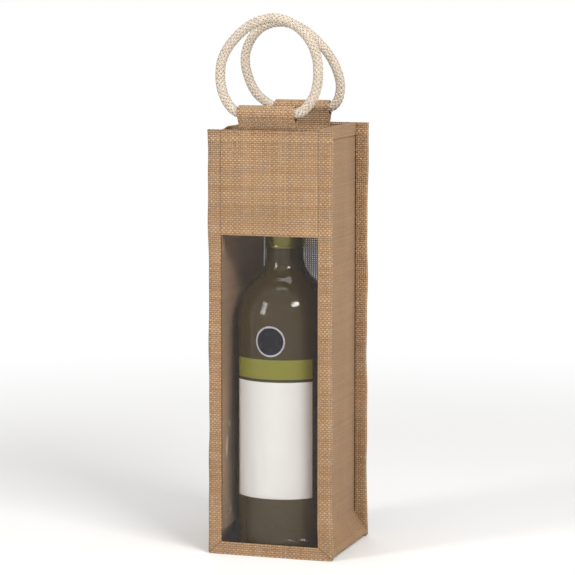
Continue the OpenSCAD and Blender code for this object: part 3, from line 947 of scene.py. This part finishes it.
def stitch_tree():
    """Geometry nodes that lay stitches end to end along the given lines."""
    if "stitch_row" in bpy.data.node_groups:
        return bpy.data.node_groups["stitch_row"]
    tree = bpy.data.node_groups.new("stitch_row", "GeometryNodeTree")
    for label, kind, way in (
            ("Geometry", "NodeSocketGeometry", "INPUT"), ("Pitch", "NodeSocketFloat", "INPUT"),
            ("Length", "NodeSocketFloat", "INPUT"), ("Thread Radius", "NodeSocketFloat", "INPUT"),
            ("Unevenness", "NodeSocketFloat", "INPUT"), ("Seed", "NodeSocketInt", "INPUT"),
            ("Material", "NodeSocketMaterial", "INPUT"),
            ("Geometry", "NodeSocketGeometry", "OUTPUT")):
        tree.interface.new_socket(label, in_out=way, socket_type=kind)
    given = tree.nodes.new("NodeGroupInput").outputs
    line = add(tree, "GeometryNodeMeshToCurve", {"Mesh": given["Geometry"]}).outputs[0]
    spots = add(tree, "GeometryNodeCurveToPoints", {"Curve": line, "Length": given["Pitch"]},
                mode="LENGTH").outputs
    seed = given["Seed"]
    length = add(tree, "FunctionNodeRandomValue", {"Seed": seed}, data_type="FLOAT")
    length.inputs[2].default_value, length.inputs[3].default_value = 0.42, 0.52
    reach = maths(tree, "MULTIPLY", given["Length"], length.outputs[1])
    size = add(tree, "ShaderNodeCombineXYZ", {
        0: reach, 1: given["Thread Radius"], 2: given["Thread Radius"]}).outputs[0]
    tilt = add(tree, "FunctionNodeRandomValue", {"Seed": seed}, data_type="FLOAT_VECTOR")
    tree.links.new(add(tree, "ShaderNodeVectorMath", {
        0: (0, 0, 0), 1: given["Unevenness"]}, operation="SUBTRACT").outputs[0], tilt.inputs[0])
    tree.links.new(given["Unevenness"], tilt.inputs[1])
    along = add(tree, "FunctionNodeAlignRotationToVector", {"Vector": spots["Tangent"]}, axis="X")
    turned = add(tree, "FunctionNodeRotateRotation", {
        "Rotation": along.outputs[0], "Rotate By": add(
            tree, "FunctionNodeEulerToRotation", {0: tilt.outputs[0]}).outputs[0]},
        rotation_space="LOCAL")
    bead = add(tree, "GeometryNodeMeshUVSphere", {"Segments": 8, "Rings": 6, "Radius": 1.0})
    bead_mesh = add(tree, "GeometryNodeStoreNamedAttribute", {
        "Geometry": bead.outputs["Mesh"], "Name": "UVMap", "Value": bead.outputs["UV Map"]},
        data_type="FLOAT2", domain="CORNER").outputs[0]
    rows = add(tree, "GeometryNodeInstanceOnPoints", {
        "Points": spots["Points"], "Instance": bead_mesh, "Rotation": turned.outputs[0],
        "Scale": size}).outputs[0]
    real = add(tree, "GeometryNodeRealizeInstances", {"Geometry": rows}).outputs[0]
    done = add(tree, "GeometryNodeSetMaterial", {
        "Geometry": real, "Material": given["Material"]}).outputs[0]
    tree.links.new(done, tree.nodes.new("NodeGroupOutput").inputs[0])
    return tree


def sew(name, node, rows, sizes, thread, seed):
    """One piece of sewing: a stitch every pitch along each row of points."""
    points, edges = [], []
    for row in rows:
        first = len(points)
        points += [tuple(p) for p in row]
        edges += [(i, i + 1) for i in range(first, len(points) - 1)]
    mesh = bpy.data.meshes.new(name)
    mesh.from_pydata(points, edges, [])
    obj = bpy.data.objects.new(name, mesh)
    bpy.context.scene.collection.objects.link(obj)
    tree = stitch_tree()
    sewing = obj.modifiers.new("stitches", "NODES")
    sewing.node_group = tree
    inputs = {s.name: s.identifier for s in tree.interface.items_tree if s.in_out == "INPUT"}
    for label, value in (("Pitch", sizes.stitch_pitch), ("Length", sizes.stitch_length),
                         ("Thread Radius", sizes.thread_radius), ("Unevenness", 0.05),
                         ("Seed", seed), ("Material", thread)):
        sewing[inputs[label]] = value
    settled(obj, sharp=80)
    worn(obj, "bag", "thread", node)


def build_sewing(sizes, colours):
    """Seams down the fins and along the foot, hem rows, the window's row and the tabs'."""
    thread = twine("Sewing Thread", colours.thread, 0.4 * MM, roughness=0.7)
    sink = 0.02 * MM
    seam_x, foot_z = WALL_X + 2.6 * MM, WINDOW_Z0 - 2.5 * MM
    hem_z = BAG_H - 4 * MM

    def row(*ends):
        line = resampled(np.array(ends, float), 2 * MM)
        return drape(line, sizes.sway)

    for name, node, y, seed in (("FrontSeam", "front_seam_thread", FRONT_Y - sink, 3),
                                ("BackSeam", "back_seam_thread", BACK_Y + sink, 5)):
        sides = [row((s * seam_x, y, foot_z + 3 * MM), (s * seam_x, y, BAG_H - HEM_H - 1 * MM))
                 for s in (-1, 1)]
        sew(name, node, [*sides, row((-seam_x + 3 * MM, y, foot_z), (seam_x - 3 * MM, y, foot_z))],
            sizes, thread, seed)
    gusset_x = WALL_X + GUSSET_T + sink
    hems = [row((-WALL_X + 2 * MM, y, hem_z), (WALL_X - 2 * MM, y, hem_z))
            for y in (FRONT_Y - sink, BACK_Y + sink)]
    hems += [row((s * gusset_x, FRONT_Y + 8 * MM, hem_z), (s * gusset_x, BACK_Y - 8 * MM, hem_z))
             for s in (-1, 1)]
    sew("HemStitches", "hem_thread", hems, sizes, thread, 7)
    sew("WindowStitches", "window_thread",
        [row((-WALL_X + 2 * MM, FRONT_Y - sink, WINDOW_Z1 + 3 * MM),
             (WALL_X - 2 * MM, FRONT_Y - sink, WINDOW_Z1 + 3 * MM))], sizes, thread, 11)
    for name, node, route, way in (("FrontTabStitches", "front_tab_thread", FRONT_ROUTE, -1),
                                   ("BackTabStitches", "back_tab_thread", BACK_ROUTE, 1)):
        y = way * (BACK_Y - 4 * JUTE_T - 0.15 * MM)
        ends = (route[0][0] + 2) * MM, (route[-1][0] - 2) * MM
        sew(name, node, [row((ends[0], y, z), (ends[1], y, z)) for z in (hem_z, TAIL_Z + 2 * MM)],
            sizes, thread, 13 + way)


# ---- bottle ----

BOTTLE_H = 295 * MM
CAPSULE_Z = 235 * MM
CAP_Z = 277 * MM
CAP_R = 14.9 * MM
CAP_T = 0.6 * MM
NECK_R = 14.5 * MM
NECK_Z = 227.3 * MM
FINISH_R = 14.0 * MM
MOUTH_R = 9.25 * MM
LIP_Z = 292.1 * MM
HEEL_R = 6 * MM
PUNT_R = BOTTLE_R - 11 * MM
PUNT_H = 14 * MM
SHOULDER_R = 45 * MM
SHOULDER_A = 50
FILL_Z = 231 * MM


def glass_line(inset):
    """The bottle's outline from heel to neck, as far inside the glass as the inset."""
    lean = 1 - math.cos(math.radians(SHOULDER_A))
    turn = (BOTTLE_R - NECK_R - SHOULDER_R * lean) / lean
    side = NECK_Z - (SHOULDER_R + turn) * math.sin(math.radians(SHOULDER_A))
    straight = [(BOTTLE_R - inset, z) for z in spread(HEEL_R, side, 12 * MM)[1:-1]]
    return np.concatenate([
        arc(BOTTLE_R - HEEL_R, HEEL_R, HEEL_R - inset, -90, 0, 8), straight,
        arc(BOTTLE_R - SHOULDER_R, side, SHOULDER_R - inset, 0, SHOULDER_A, 18),
        arc(NECK_R + turn, NECK_Z, turn + inset, 180 + SHOULDER_A, 180, 12)[1:]])


def punt(raise_by=0.0):
    """The hollow under the bottle, from the axis outwards."""
    r = np.linspace(0, 1, 9)
    return np.column_stack([PUNT_R * r, raise_by + PUNT_H * (1 - r ** 2.2)])


def build_bottle(sizes, colours):
    """Antique green glass, thick at the punt, with a plain finish under the cap."""
    made, tree, surface = new_material(
        "Bottle Glass", Roughness=0.03, IOR=1.45, Transmission_Weight=0.25,
        Specular_IOR_Level=0.3)
    seed = noise_at(tree, object_place(tree), 30.0, 1.0)
    deep = tuple(c * 0.8 for c in colours.glass)
    feed(tree, surface, Base_Color=mixed(tree, seed, deep, colours.glass))
    rim = 0.8 * MM
    profile = np.concatenate([
        punt(), glass_line(0),
        [(NECK_R, CAPSULE_Z - 0.5 * MM), (FINISH_R, CAPSULE_Z - 0.3 * MM), (FINISH_R, LIP_Z - rim)],
        arc(FINISH_R - rim, LIP_Z - rim, rim, 15, 90, 4),
        arc(MOUTH_R + rim, LIP_Z - rim, rim, 90, 180, 4),
        [(MOUTH_R, LIP_Z - 12 * MM), (NECK_R - GLASS_T, LIP_Z - 40 * MM)],
        glass_line(GLASS_T)[::-1], punt(GLASS_T + 1 * MM)[::-1]])
    obj = lathe("Bottle", profile, made, sizes.lathe_steps)
    outward(obj.data)
    worn(obj, "bottle", "bottle_glass", "bottle")


def build_wine(sizes, colours):
    """The wine, a hair into the glass so that light passes straight from one to the other."""
    made, tree, surface = new_material("Pale Wine", Roughness=0.0, IOR=1.34, Transmission_Weight=1.0)
    haze = noise_at(tree, object_place(tree), 12.0, 1.0)
    feed(tree, surface, Base_Color=mixed(tree, haze, tuple(c * 0.94 for c in colours.wine),
                                         colours.wine))
    wall = [p for p in glass_line(GLASS_T - 0.05 * MM) if p[1] < FILL_Z]
    radius = wall[-1][0]
    rise = 1.2 * MM
    profile = np.concatenate([
        punt(GLASS_T + 0.95 * MM), wall, [(radius, FILL_Z + rise)],
        [(radius - 0.6 * MM, FILL_Z + 0.4 * MM), (radius - 2 * MM, FILL_Z), (0, FILL_Z)]])
    obj = lathe("Wine", profile, made, sizes.lathe_steps)
    outward(obj.data)
    worn(obj, "bottle", "wine", "wine")


def build_closure(sizes, colours):
    """The knurled screw cap, its liner and the skirt below it."""
    made, tree, surface = new_material("Cap Metal", Metallic=0.75, Roughness=0.3, Coat_Weight=0.4,
                                       Coat_Roughness=0.12)
    place = object_place(tree)
    brushed = noise_at(tree, scaled(tree, place, (1, 1, 30)), 90.0, 4.0, 0.6)
    feed(tree, surface, Base_Color=mixed(tree, brushed, tuple(c * 0.8 for c in colours.capsule),
                                         colours.capsule),
         Roughness=ranged(tree, brushed, 0.3, 0.7, 0.24, 0.4))
    bead = 0.25 * MM
    inner = CAP_R - CAP_T
    skirt_top = CAP_Z - 0.3 * MM
    skirt = [(inner, CAPSULE_Z), (CAP_R - bead, CAPSULE_Z), (CAP_R, CAPSULE_Z + bead),
             (CAP_R, CAPSULE_Z + 2 * MM), (CAP_R - 0.12 * MM, CAPSULE_Z + 2.3 * MM),
             (CAP_R, CAPSULE_Z + 2.6 * MM), *[(CAP_R, z) for z in spread(
                 CAPSULE_Z + 6 * MM, skirt_top - bead, 5 * MM)],
             (CAP_R - bead, skirt_top), (inner, skirt_top)]
    obj = lathe("CapSkirt", skirt, made, sizes.lathe_steps, closed=True)
    outward(obj.data)
    worn(obj, "bottle", "cap_metal", "cap_skirt")

    grip_lo, grip_hi = CAP_Z + 11 * MM, BOTTLE_H - 2.4 * MM

    def knurl(r, z, angle):
        on = grip_lo < z < grip_hi and r > inner
        return r - 0.22 * MM * (0.5 - 0.5 * math.cos(angle * 48)) if on else r

    edge = 1.4 * MM
    crown = arc(CAP_R - edge, BOTTLE_H - edge, edge, 0, 90, 8)
    cap = [(0, BOTTLE_H - 0.8 * MM), (inner, BOTTLE_H - 0.8 * MM), (inner, CAP_Z), (CAP_R, CAP_Z),
           (CAP_R, CAP_Z + 1.2 * MM), (CAP_R - 0.15 * MM, CAP_Z + 1.5 * MM),
           (CAP_R, CAP_Z + 1.8 * MM), (CAP_R, grip_lo - 0.1 * MM), (CAP_R, grip_lo + 0.3 * MM),
           *[(CAP_R, z) for z in spread(grip_lo + 1 * MM, grip_hi - 0.3 * MM, 1 * MM)],
           (CAP_R, grip_hi + 0.2 * MM), *crown, (CAP_R - 4 * MM, BOTTLE_H),
           (CAP_R - 4.6 * MM, BOTTLE_H - 0.15 * MM), (0, BOTTLE_H - 0.15 * MM)]
    obj = lathe("ScrewCap", cap, made, 288, radius=knurl)
    outward(obj.data)
    worn(obj, "cap", "cap_metal", "screw_cap")

    foam, tree, surface = new_material("Liner Foam", Roughness=0.75)
    pores = noise_at(tree, object_place(tree), 1800.0, 2.0)
    feed(tree, surface, Base_Color=mixed(tree, pores, tuple(c * 0.9 for c in colours.liner),
                                         colours.liner), Normal=bumped(tree, pores, 0.05 * MM))
    low, high = LIP_Z + 0.3 * MM, LIP_Z + 1.8 * MM
    pad = [(0, low), (FINISH_R - 0.2 * MM, low), (FINISH_R, low + 0.2 * MM),
           (FINISH_R, high - 0.2 * MM), (FINISH_R - 0.2 * MM, high), (0, high)]
    obj = lathe("CapLiner", pad, foam, sizes.lathe_steps)
    outward(obj.data)
    worn(obj, "liner", "liner", "cap_liner")


def round_the_bottle(across, z, out=0.0):
    """A point on the labels' round face, so far across to the right of its middle line."""
    angle = across / LABEL_R
    r = LABEL_R + out
    return (r * math.sin(angle), BOTTLE_Y - r * math.cos(angle), z)


def paper(name, colour, gloss, grain):
    made, tree, surface = new_material(name, Roughness=gloss, Specular_IOR_Level=0.4)
    place = object_place(tree)
    fibre = noise_at(tree, scaled(tree, place, (1, 1, 0.6)), 2200.0, 3.0)
    cloud = noise_at(tree, place, 40.0, 2.0)
    base = mixed(tree, maths(tree, "MULTIPLY_ADD", fibre, 0.5, maths(
        tree, "MULTIPLY", cloud, 0.5)), tuple(c * 0.93 for c in colour), colour)
    feed(tree, surface, Base_Color=base, Normal=bumped(tree, fibre, grain))
    return made


def build_labels(colours):
    """The front label and the band over it: bare paper wrapped round the glass."""
    for name, node, material in (
            ("FrontLabel", "front_label", paper("Label Paper", colours.label, 0.55, 0.03 * MM)),
            ("VarietyBand", "variety_band", paper("Band Paper", colours.band, 0.5, 0.03 * MM))):
        lo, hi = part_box(node)
        half = LABEL_R * LABEL_WRAP / 2
        cloth = Cloth().grid(lambda u, z: round_the_bottle(u, z), spread(-half, half, 1.2 * MM),
                             spread(lo.z, hi.z, 3 * MM))
        obj = cloth.object(name, material, PAPER_T, edge=0.05 * MM)
        worn(obj, "bottle", node.replace("front_label", "label_paper").replace(
            "variety_band", "band_paper"), node)


def sticker(name, node, inner, outer, crown, material, slot):
    """A round piece on the bottle, from an inner to an outer radius, domed by crown."""
    lo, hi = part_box("medal_rim")
    middle = (lo.z + hi.z) / 2
    turn = 96
    radii = spread(inner, outer, 0.45 * MM)
    points, faces = [], []
    for face, lift in ((1, PAPER_T / 2), (-1, -PAPER_T / 2)):
        for r in radii:
            share = (r - inner) / (outer - inner)
            dome = crown * math.sin(math.pi * min(max(share, 0), 1)) if face > 0 else 0
            for k in range(turn if r > 0 else 1):
                a = 2 * math.pi * k / turn
                points.append(round_the_bottle(r * math.cos(a), middle + r * math.sin(a),
                                               lift + dome))
    per_side = len(points) // 2

    def ring(side, i):
        start = side * per_side + (0 if i == 0 else (1 if radii[0] == 0 else turn)
                                   + (i - 1) * turn)
        return [start + k for k in range(turn)] if radii[i] > 0 else [start] * turn

    for side in (0, 1):
        for i in range(len(radii) - 1):
            a, b = ring(side, i), ring(side, i + 1)
            for k in range(turn):
                n = (k + 1) % turn
                face = (a[k], b[k], b[n]) if a[k] == a[n] else (a[k], b[k], b[n], a[n])
                faces.append(face)
    for i in [len(radii) - 1] + ([0] if radii[0] > 0 else []):
        a, b = ring(0, i), ring(1, i)
        faces += [(a[k], a[(k + 1) % turn], b[(k + 1) % turn], b[k]) for k in range(turn)]
    obj = mesh_object(name, points, faces, material)
    outward(obj.data)
    obj.data.set_sharp_from_angle(angle=math.radians(50))
    worn(obj, "bottle", slot, node)


def build_medal(colours):
    """The bare round sticker: a dark foil face inside a silver rim."""
    lo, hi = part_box("medal_rim")
    radius = (hi.z - lo.z) / 2
    rim = 1.3 * MM
    for name, node, inner, outer, crown, colour, slot, gloss, metal in (
            ("MedalDisc", "medal_disc", 0, radius - rim, 0.0, colours.medal, "medal_face", 0.22,
             0.2),
            ("MedalRim", "medal_rim", radius - rim, radius, 0.06 * MM, colours.foil, "medal_foil",
             0.2, 0.8)):
        made, tree, surface = new_material(name, Metallic=metal, Roughness=gloss,
                                           Specular_IOR_Level=0.2)
        crinkle = noise_at(tree, object_place(tree), 130.0, 1.0)
        feed(tree, surface, Base_Color=mixed(tree, crinkle, tuple(c * 0.7 for c in colour), colour),
             Normal=bumped(tree, crinkle, 0.3 * MM),
             Roughness=ranged(tree, crinkle, 0.3, 0.7, gloss, gloss + 0.15))
        sticker(name, node, inner, outer, crown, made, slot)


# ---- stage ----


def area_light(name, azimuth, elevation, distance, width, height, watts, target):
    """A soft box that faces the target from a direction given as the camera's is."""
    light = bpy.data.lights.new(name, "AREA")
    light.shape, light.size, light.size_y, light.energy = "RECTANGLE", width, height, watts
    lamp = bpy.data.objects.new(name, light)
    back = direction(azimuth, elevation)
    lamp.location = target + back * distance
    lamp.rotation_euler = (-back).to_track_quat("-Z", "Y").to_euler()
    bpy.context.scene.collection.objects.link(lamp)


def looked_at(tree):
    """1 for a ray from the camera, straight, mirrored or through glass, and 0 for light."""
    path = tree.nodes.new("ShaderNodeLightPath").outputs
    return maths(tree, "MAXIMUM", path["Is Camera Ray"], maths(
        tree, "MAXIMUM", path["Is Glossy Ray"], path["Is Transmission Ray"]))


def direction(azimuth, elevation):
    a, e = math.radians(azimuth), math.radians(elevation)
    return Vector((math.sin(a) * math.cos(e), -math.cos(a) * math.cos(e), math.sin(e)))


def build_stage(colours):
    """Floor, world, soft boxes and the camera."""
    scene = bpy.context.scene
    scene.view_settings.view_transform = "Standard"
    made, tree, surface = new_material("Studio Floor", Roughness=0.75, Specular_IOR_Level=0.3)
    grain = noise_at(tree, object_place(tree), 9.0, 3.0)
    feed(tree, surface, Base_Color=mixed(tree, grain, tuple(c * 0.97 for c in colours.floor),
                                         colours.floor))
    away = add(tree, "ShaderNodeVectorMath", {0: object_place(tree)}, operation="LENGTH").outputs[1]
    fade = maths(tree, "MULTIPLY", ranged(tree, away, 0.25, 1.1), looked_at(tree))
    glow = add(tree, "ShaderNodeEmission", {"Color": (1, 1, 1, 1)}).outputs[0]
    faded = add(tree, "ShaderNodeMixShader", {0: fade, 1: surface.outputs[0], 2: glow}).outputs[0]
    tree.links.new(faded, tree.nodes["Material Output"].inputs["Surface"])
    ring = [(6 * math.cos(a), 6 * math.sin(a), 0) for a in np.linspace(0, 2 * math.pi, 65)[:-1]]
    floor = mesh_object("Floor", ring, [tuple(range(64))], made, smooth=False)
    floor.location = (0, 0, 0)

    world = bpy.data.worlds.new("studio")
    scene.world = world
    world.use_nodes = True
    tree = world.node_tree
    tree.nodes.clear()
    strength = maths(tree, "MULTIPLY_ADD", looked_at(tree), 0.62, 0.38)
    sky = add(tree, "ShaderNodeBackground", {"Color": (1, 1, 1, 1), "Strength": strength})
    tree.links.new(sky.outputs[0], tree.nodes.new("ShaderNodeOutputWorld").inputs["Surface"])

    middle = Vector((0, 0, 0.2))
    area_light("key", 50, 34, 1.5, 0.65, 0.22, 17, middle)
    area_light("fill", -38, 22, 1.6, 0.35, 0.6, 10, middle)
    area_light("top", 20, 78, 1.4, 0.9, 0.6, 6, middle)
    area_light("back", 200, 40, 1.7, 0.9, 0.9, 5, middle)

    target = Vector((-0.0014, 0, 0.2033))
    back = direction(17.9, 6.87)
    camera = bpy.data.objects.new("Camera", bpy.data.cameras.new("Camera"))
    camera.data.lens, camera.data.sensor_width = 162.8, 36
    camera.location = target + back * 2.023
    camera.rotation_euler = (-back).to_track_quat("-Z", "Y").to_euler()
    scene.collection.objects.link(camera)
    scene.camera = camera


# ---- add-on ----


class BAG_OT_stage(bpy.types.Operator):
    """Set up the floor, soft lights, world and camera"""

    bl_idname = "bag.stage"
    bl_label = "Stage"

    def execute(self, context):
        build_stage(context.scene.bag_colours)
        return {"FINISHED"}


class BAG_OT_ropes(bpy.types.Operator):
    """Braid both rope handles and tape their ends"""

    bl_idname = "bag.ropes"
    bl_label = "Rope Handles"

    def execute(self, context):
        build_ropes(context.scene.bag_sizes, context.scene.bag_colours)
        return {"FINISHED"}


class BAG_OT_panels(bpy.types.Operator):
    """Make the front and back jute panels"""

    bl_idname = "bag.panels"
    bl_label = "Panels"

    def execute(self, context):
        build_panels(context.scene.bag_sizes, context.scene.bag_colours)
        return {"FINISHED"}


class BAG_OT_gusset(bpy.types.Operator):
    """Make the gusset strip round the sides and foot"""

    bl_idname = "bag.gusset"
    bl_label = "Gusset"

    def execute(self, context):
        build_gusset(context.scene.bag_sizes, context.scene.bag_colours)
        return {"FINISHED"}


class BAG_OT_film(bpy.types.Operator):
    """Make the clear window film with its wrinkles"""

    bl_idname = "bag.film"
    bl_label = "Window Film"

    def execute(self, context):
        build_film(context.scene.bag_sizes)
        return {"FINISHED"}


class BAG_OT_tabs(bpy.types.Operator):
    """Make the sleeve tabs that hold the ropes"""

    bl_idname = "bag.tabs"
    bl_label = "Sleeve Tabs"

    def execute(self, context):
        build_tabs(context.scene.bag_sizes, context.scene.bag_colours)
        return {"FINISHED"}


class BAG_OT_sewing(bpy.types.Operator):
    """Sew the seams, hems, window and tabs"""

    bl_idname = "bag.sewing"
    bl_label = "Sewing"

    def execute(self, context):
        build_sewing(context.scene.bag_sizes, context.scene.bag_colours)
        return {"FINISHED"}


class BAG_OT_bottle(bpy.types.Operator):
    """Make the bottle's glass"""

    bl_idname = "bag.bottle"
    bl_label = "Bottle"

    def execute(self, context):
        build_bottle(context.scene.bag_sizes, context.scene.bag_colours)
        return {"FINISHED"}


class BAG_OT_wine(bpy.types.Operator):
    """Fill the bottle"""

    bl_idname = "bag.wine"
    bl_label = "Wine"

    def execute(self, context):
        build_wine(context.scene.bag_sizes, context.scene.bag_colours)
        return {"FINISHED"}


class BAG_OT_closure(bpy.types.Operator):
    """Make the screw cap, its liner and its skirt"""

    bl_idname = "bag.closure"
    bl_label = "Closure"

    def execute(self, context):
        build_closure(context.scene.bag_sizes, context.scene.bag_colours)
        return {"FINISHED"}


class BAG_OT_labels(bpy.types.Operator):
    """Make the bare front label and its band"""

    bl_idname = "bag.labels"
    bl_label = "Labels"

    def execute(self, context):
        build_labels(context.scene.bag_colours)
        return {"FINISHED"}


class BAG_OT_medal(bpy.types.Operator):
    """Make the bare round sticker"""

    bl_idname = "bag.medal"
    bl_label = "Round Sticker"

    def execute(self, context):
        build_medal(context.scene.bag_colours)
        return {"FINISHED"}


OPERATORS = (BAG_OT_stage, BAG_OT_ropes, BAG_OT_panels, BAG_OT_gusset, BAG_OT_film, BAG_OT_tabs,
             BAG_OT_sewing, BAG_OT_bottle, BAG_OT_wine, BAG_OT_closure, BAG_OT_labels, BAG_OT_medal)


class VIEW3D_PT_gift_bag(bpy.types.Panel):
    """Buttons that build the bag piece by piece"""

    bl_label = "Gift Bag"
    bl_space_type = "VIEW_3D"
    bl_region_type = "UI"
    bl_category = "Gift Bag"

    def draw(self, context):
        for group in (context.scene.bag_sizes, context.scene.bag_colours):
            box = self.layout.box()
            for key in group.bl_rna.properties.keys():
                if key not in ("rna_type", "name"):
                    box.prop(group, key)
        for operator in OPERATORS:
            self.layout.operator(operator.bl_idname)


CLASSES = (BagSizes, BagColours, *OPERATORS, VIEW3D_PT_gift_bag)


def register():
    for cls in CLASSES:
        bpy.utils.register_class(cls)
    bpy.types.Scene.bag_sizes = bpy.props.PointerProperty(type=BagSizes)
    bpy.types.Scene.bag_colours = bpy.props.PointerProperty(type=BagColours)


def unregister():
    del bpy.types.Scene.bag_colours
    del bpy.types.Scene.bag_sizes
    for cls in reversed(CLASSES):
        bpy.utils.unregister_class(cls)


def main():
    register()
    for operator in OPERATORS:
        getattr(bpy.ops.bag, operator.bl_idname.split(".")[1])()
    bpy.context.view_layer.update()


if __name__ == "__main__":
    main()
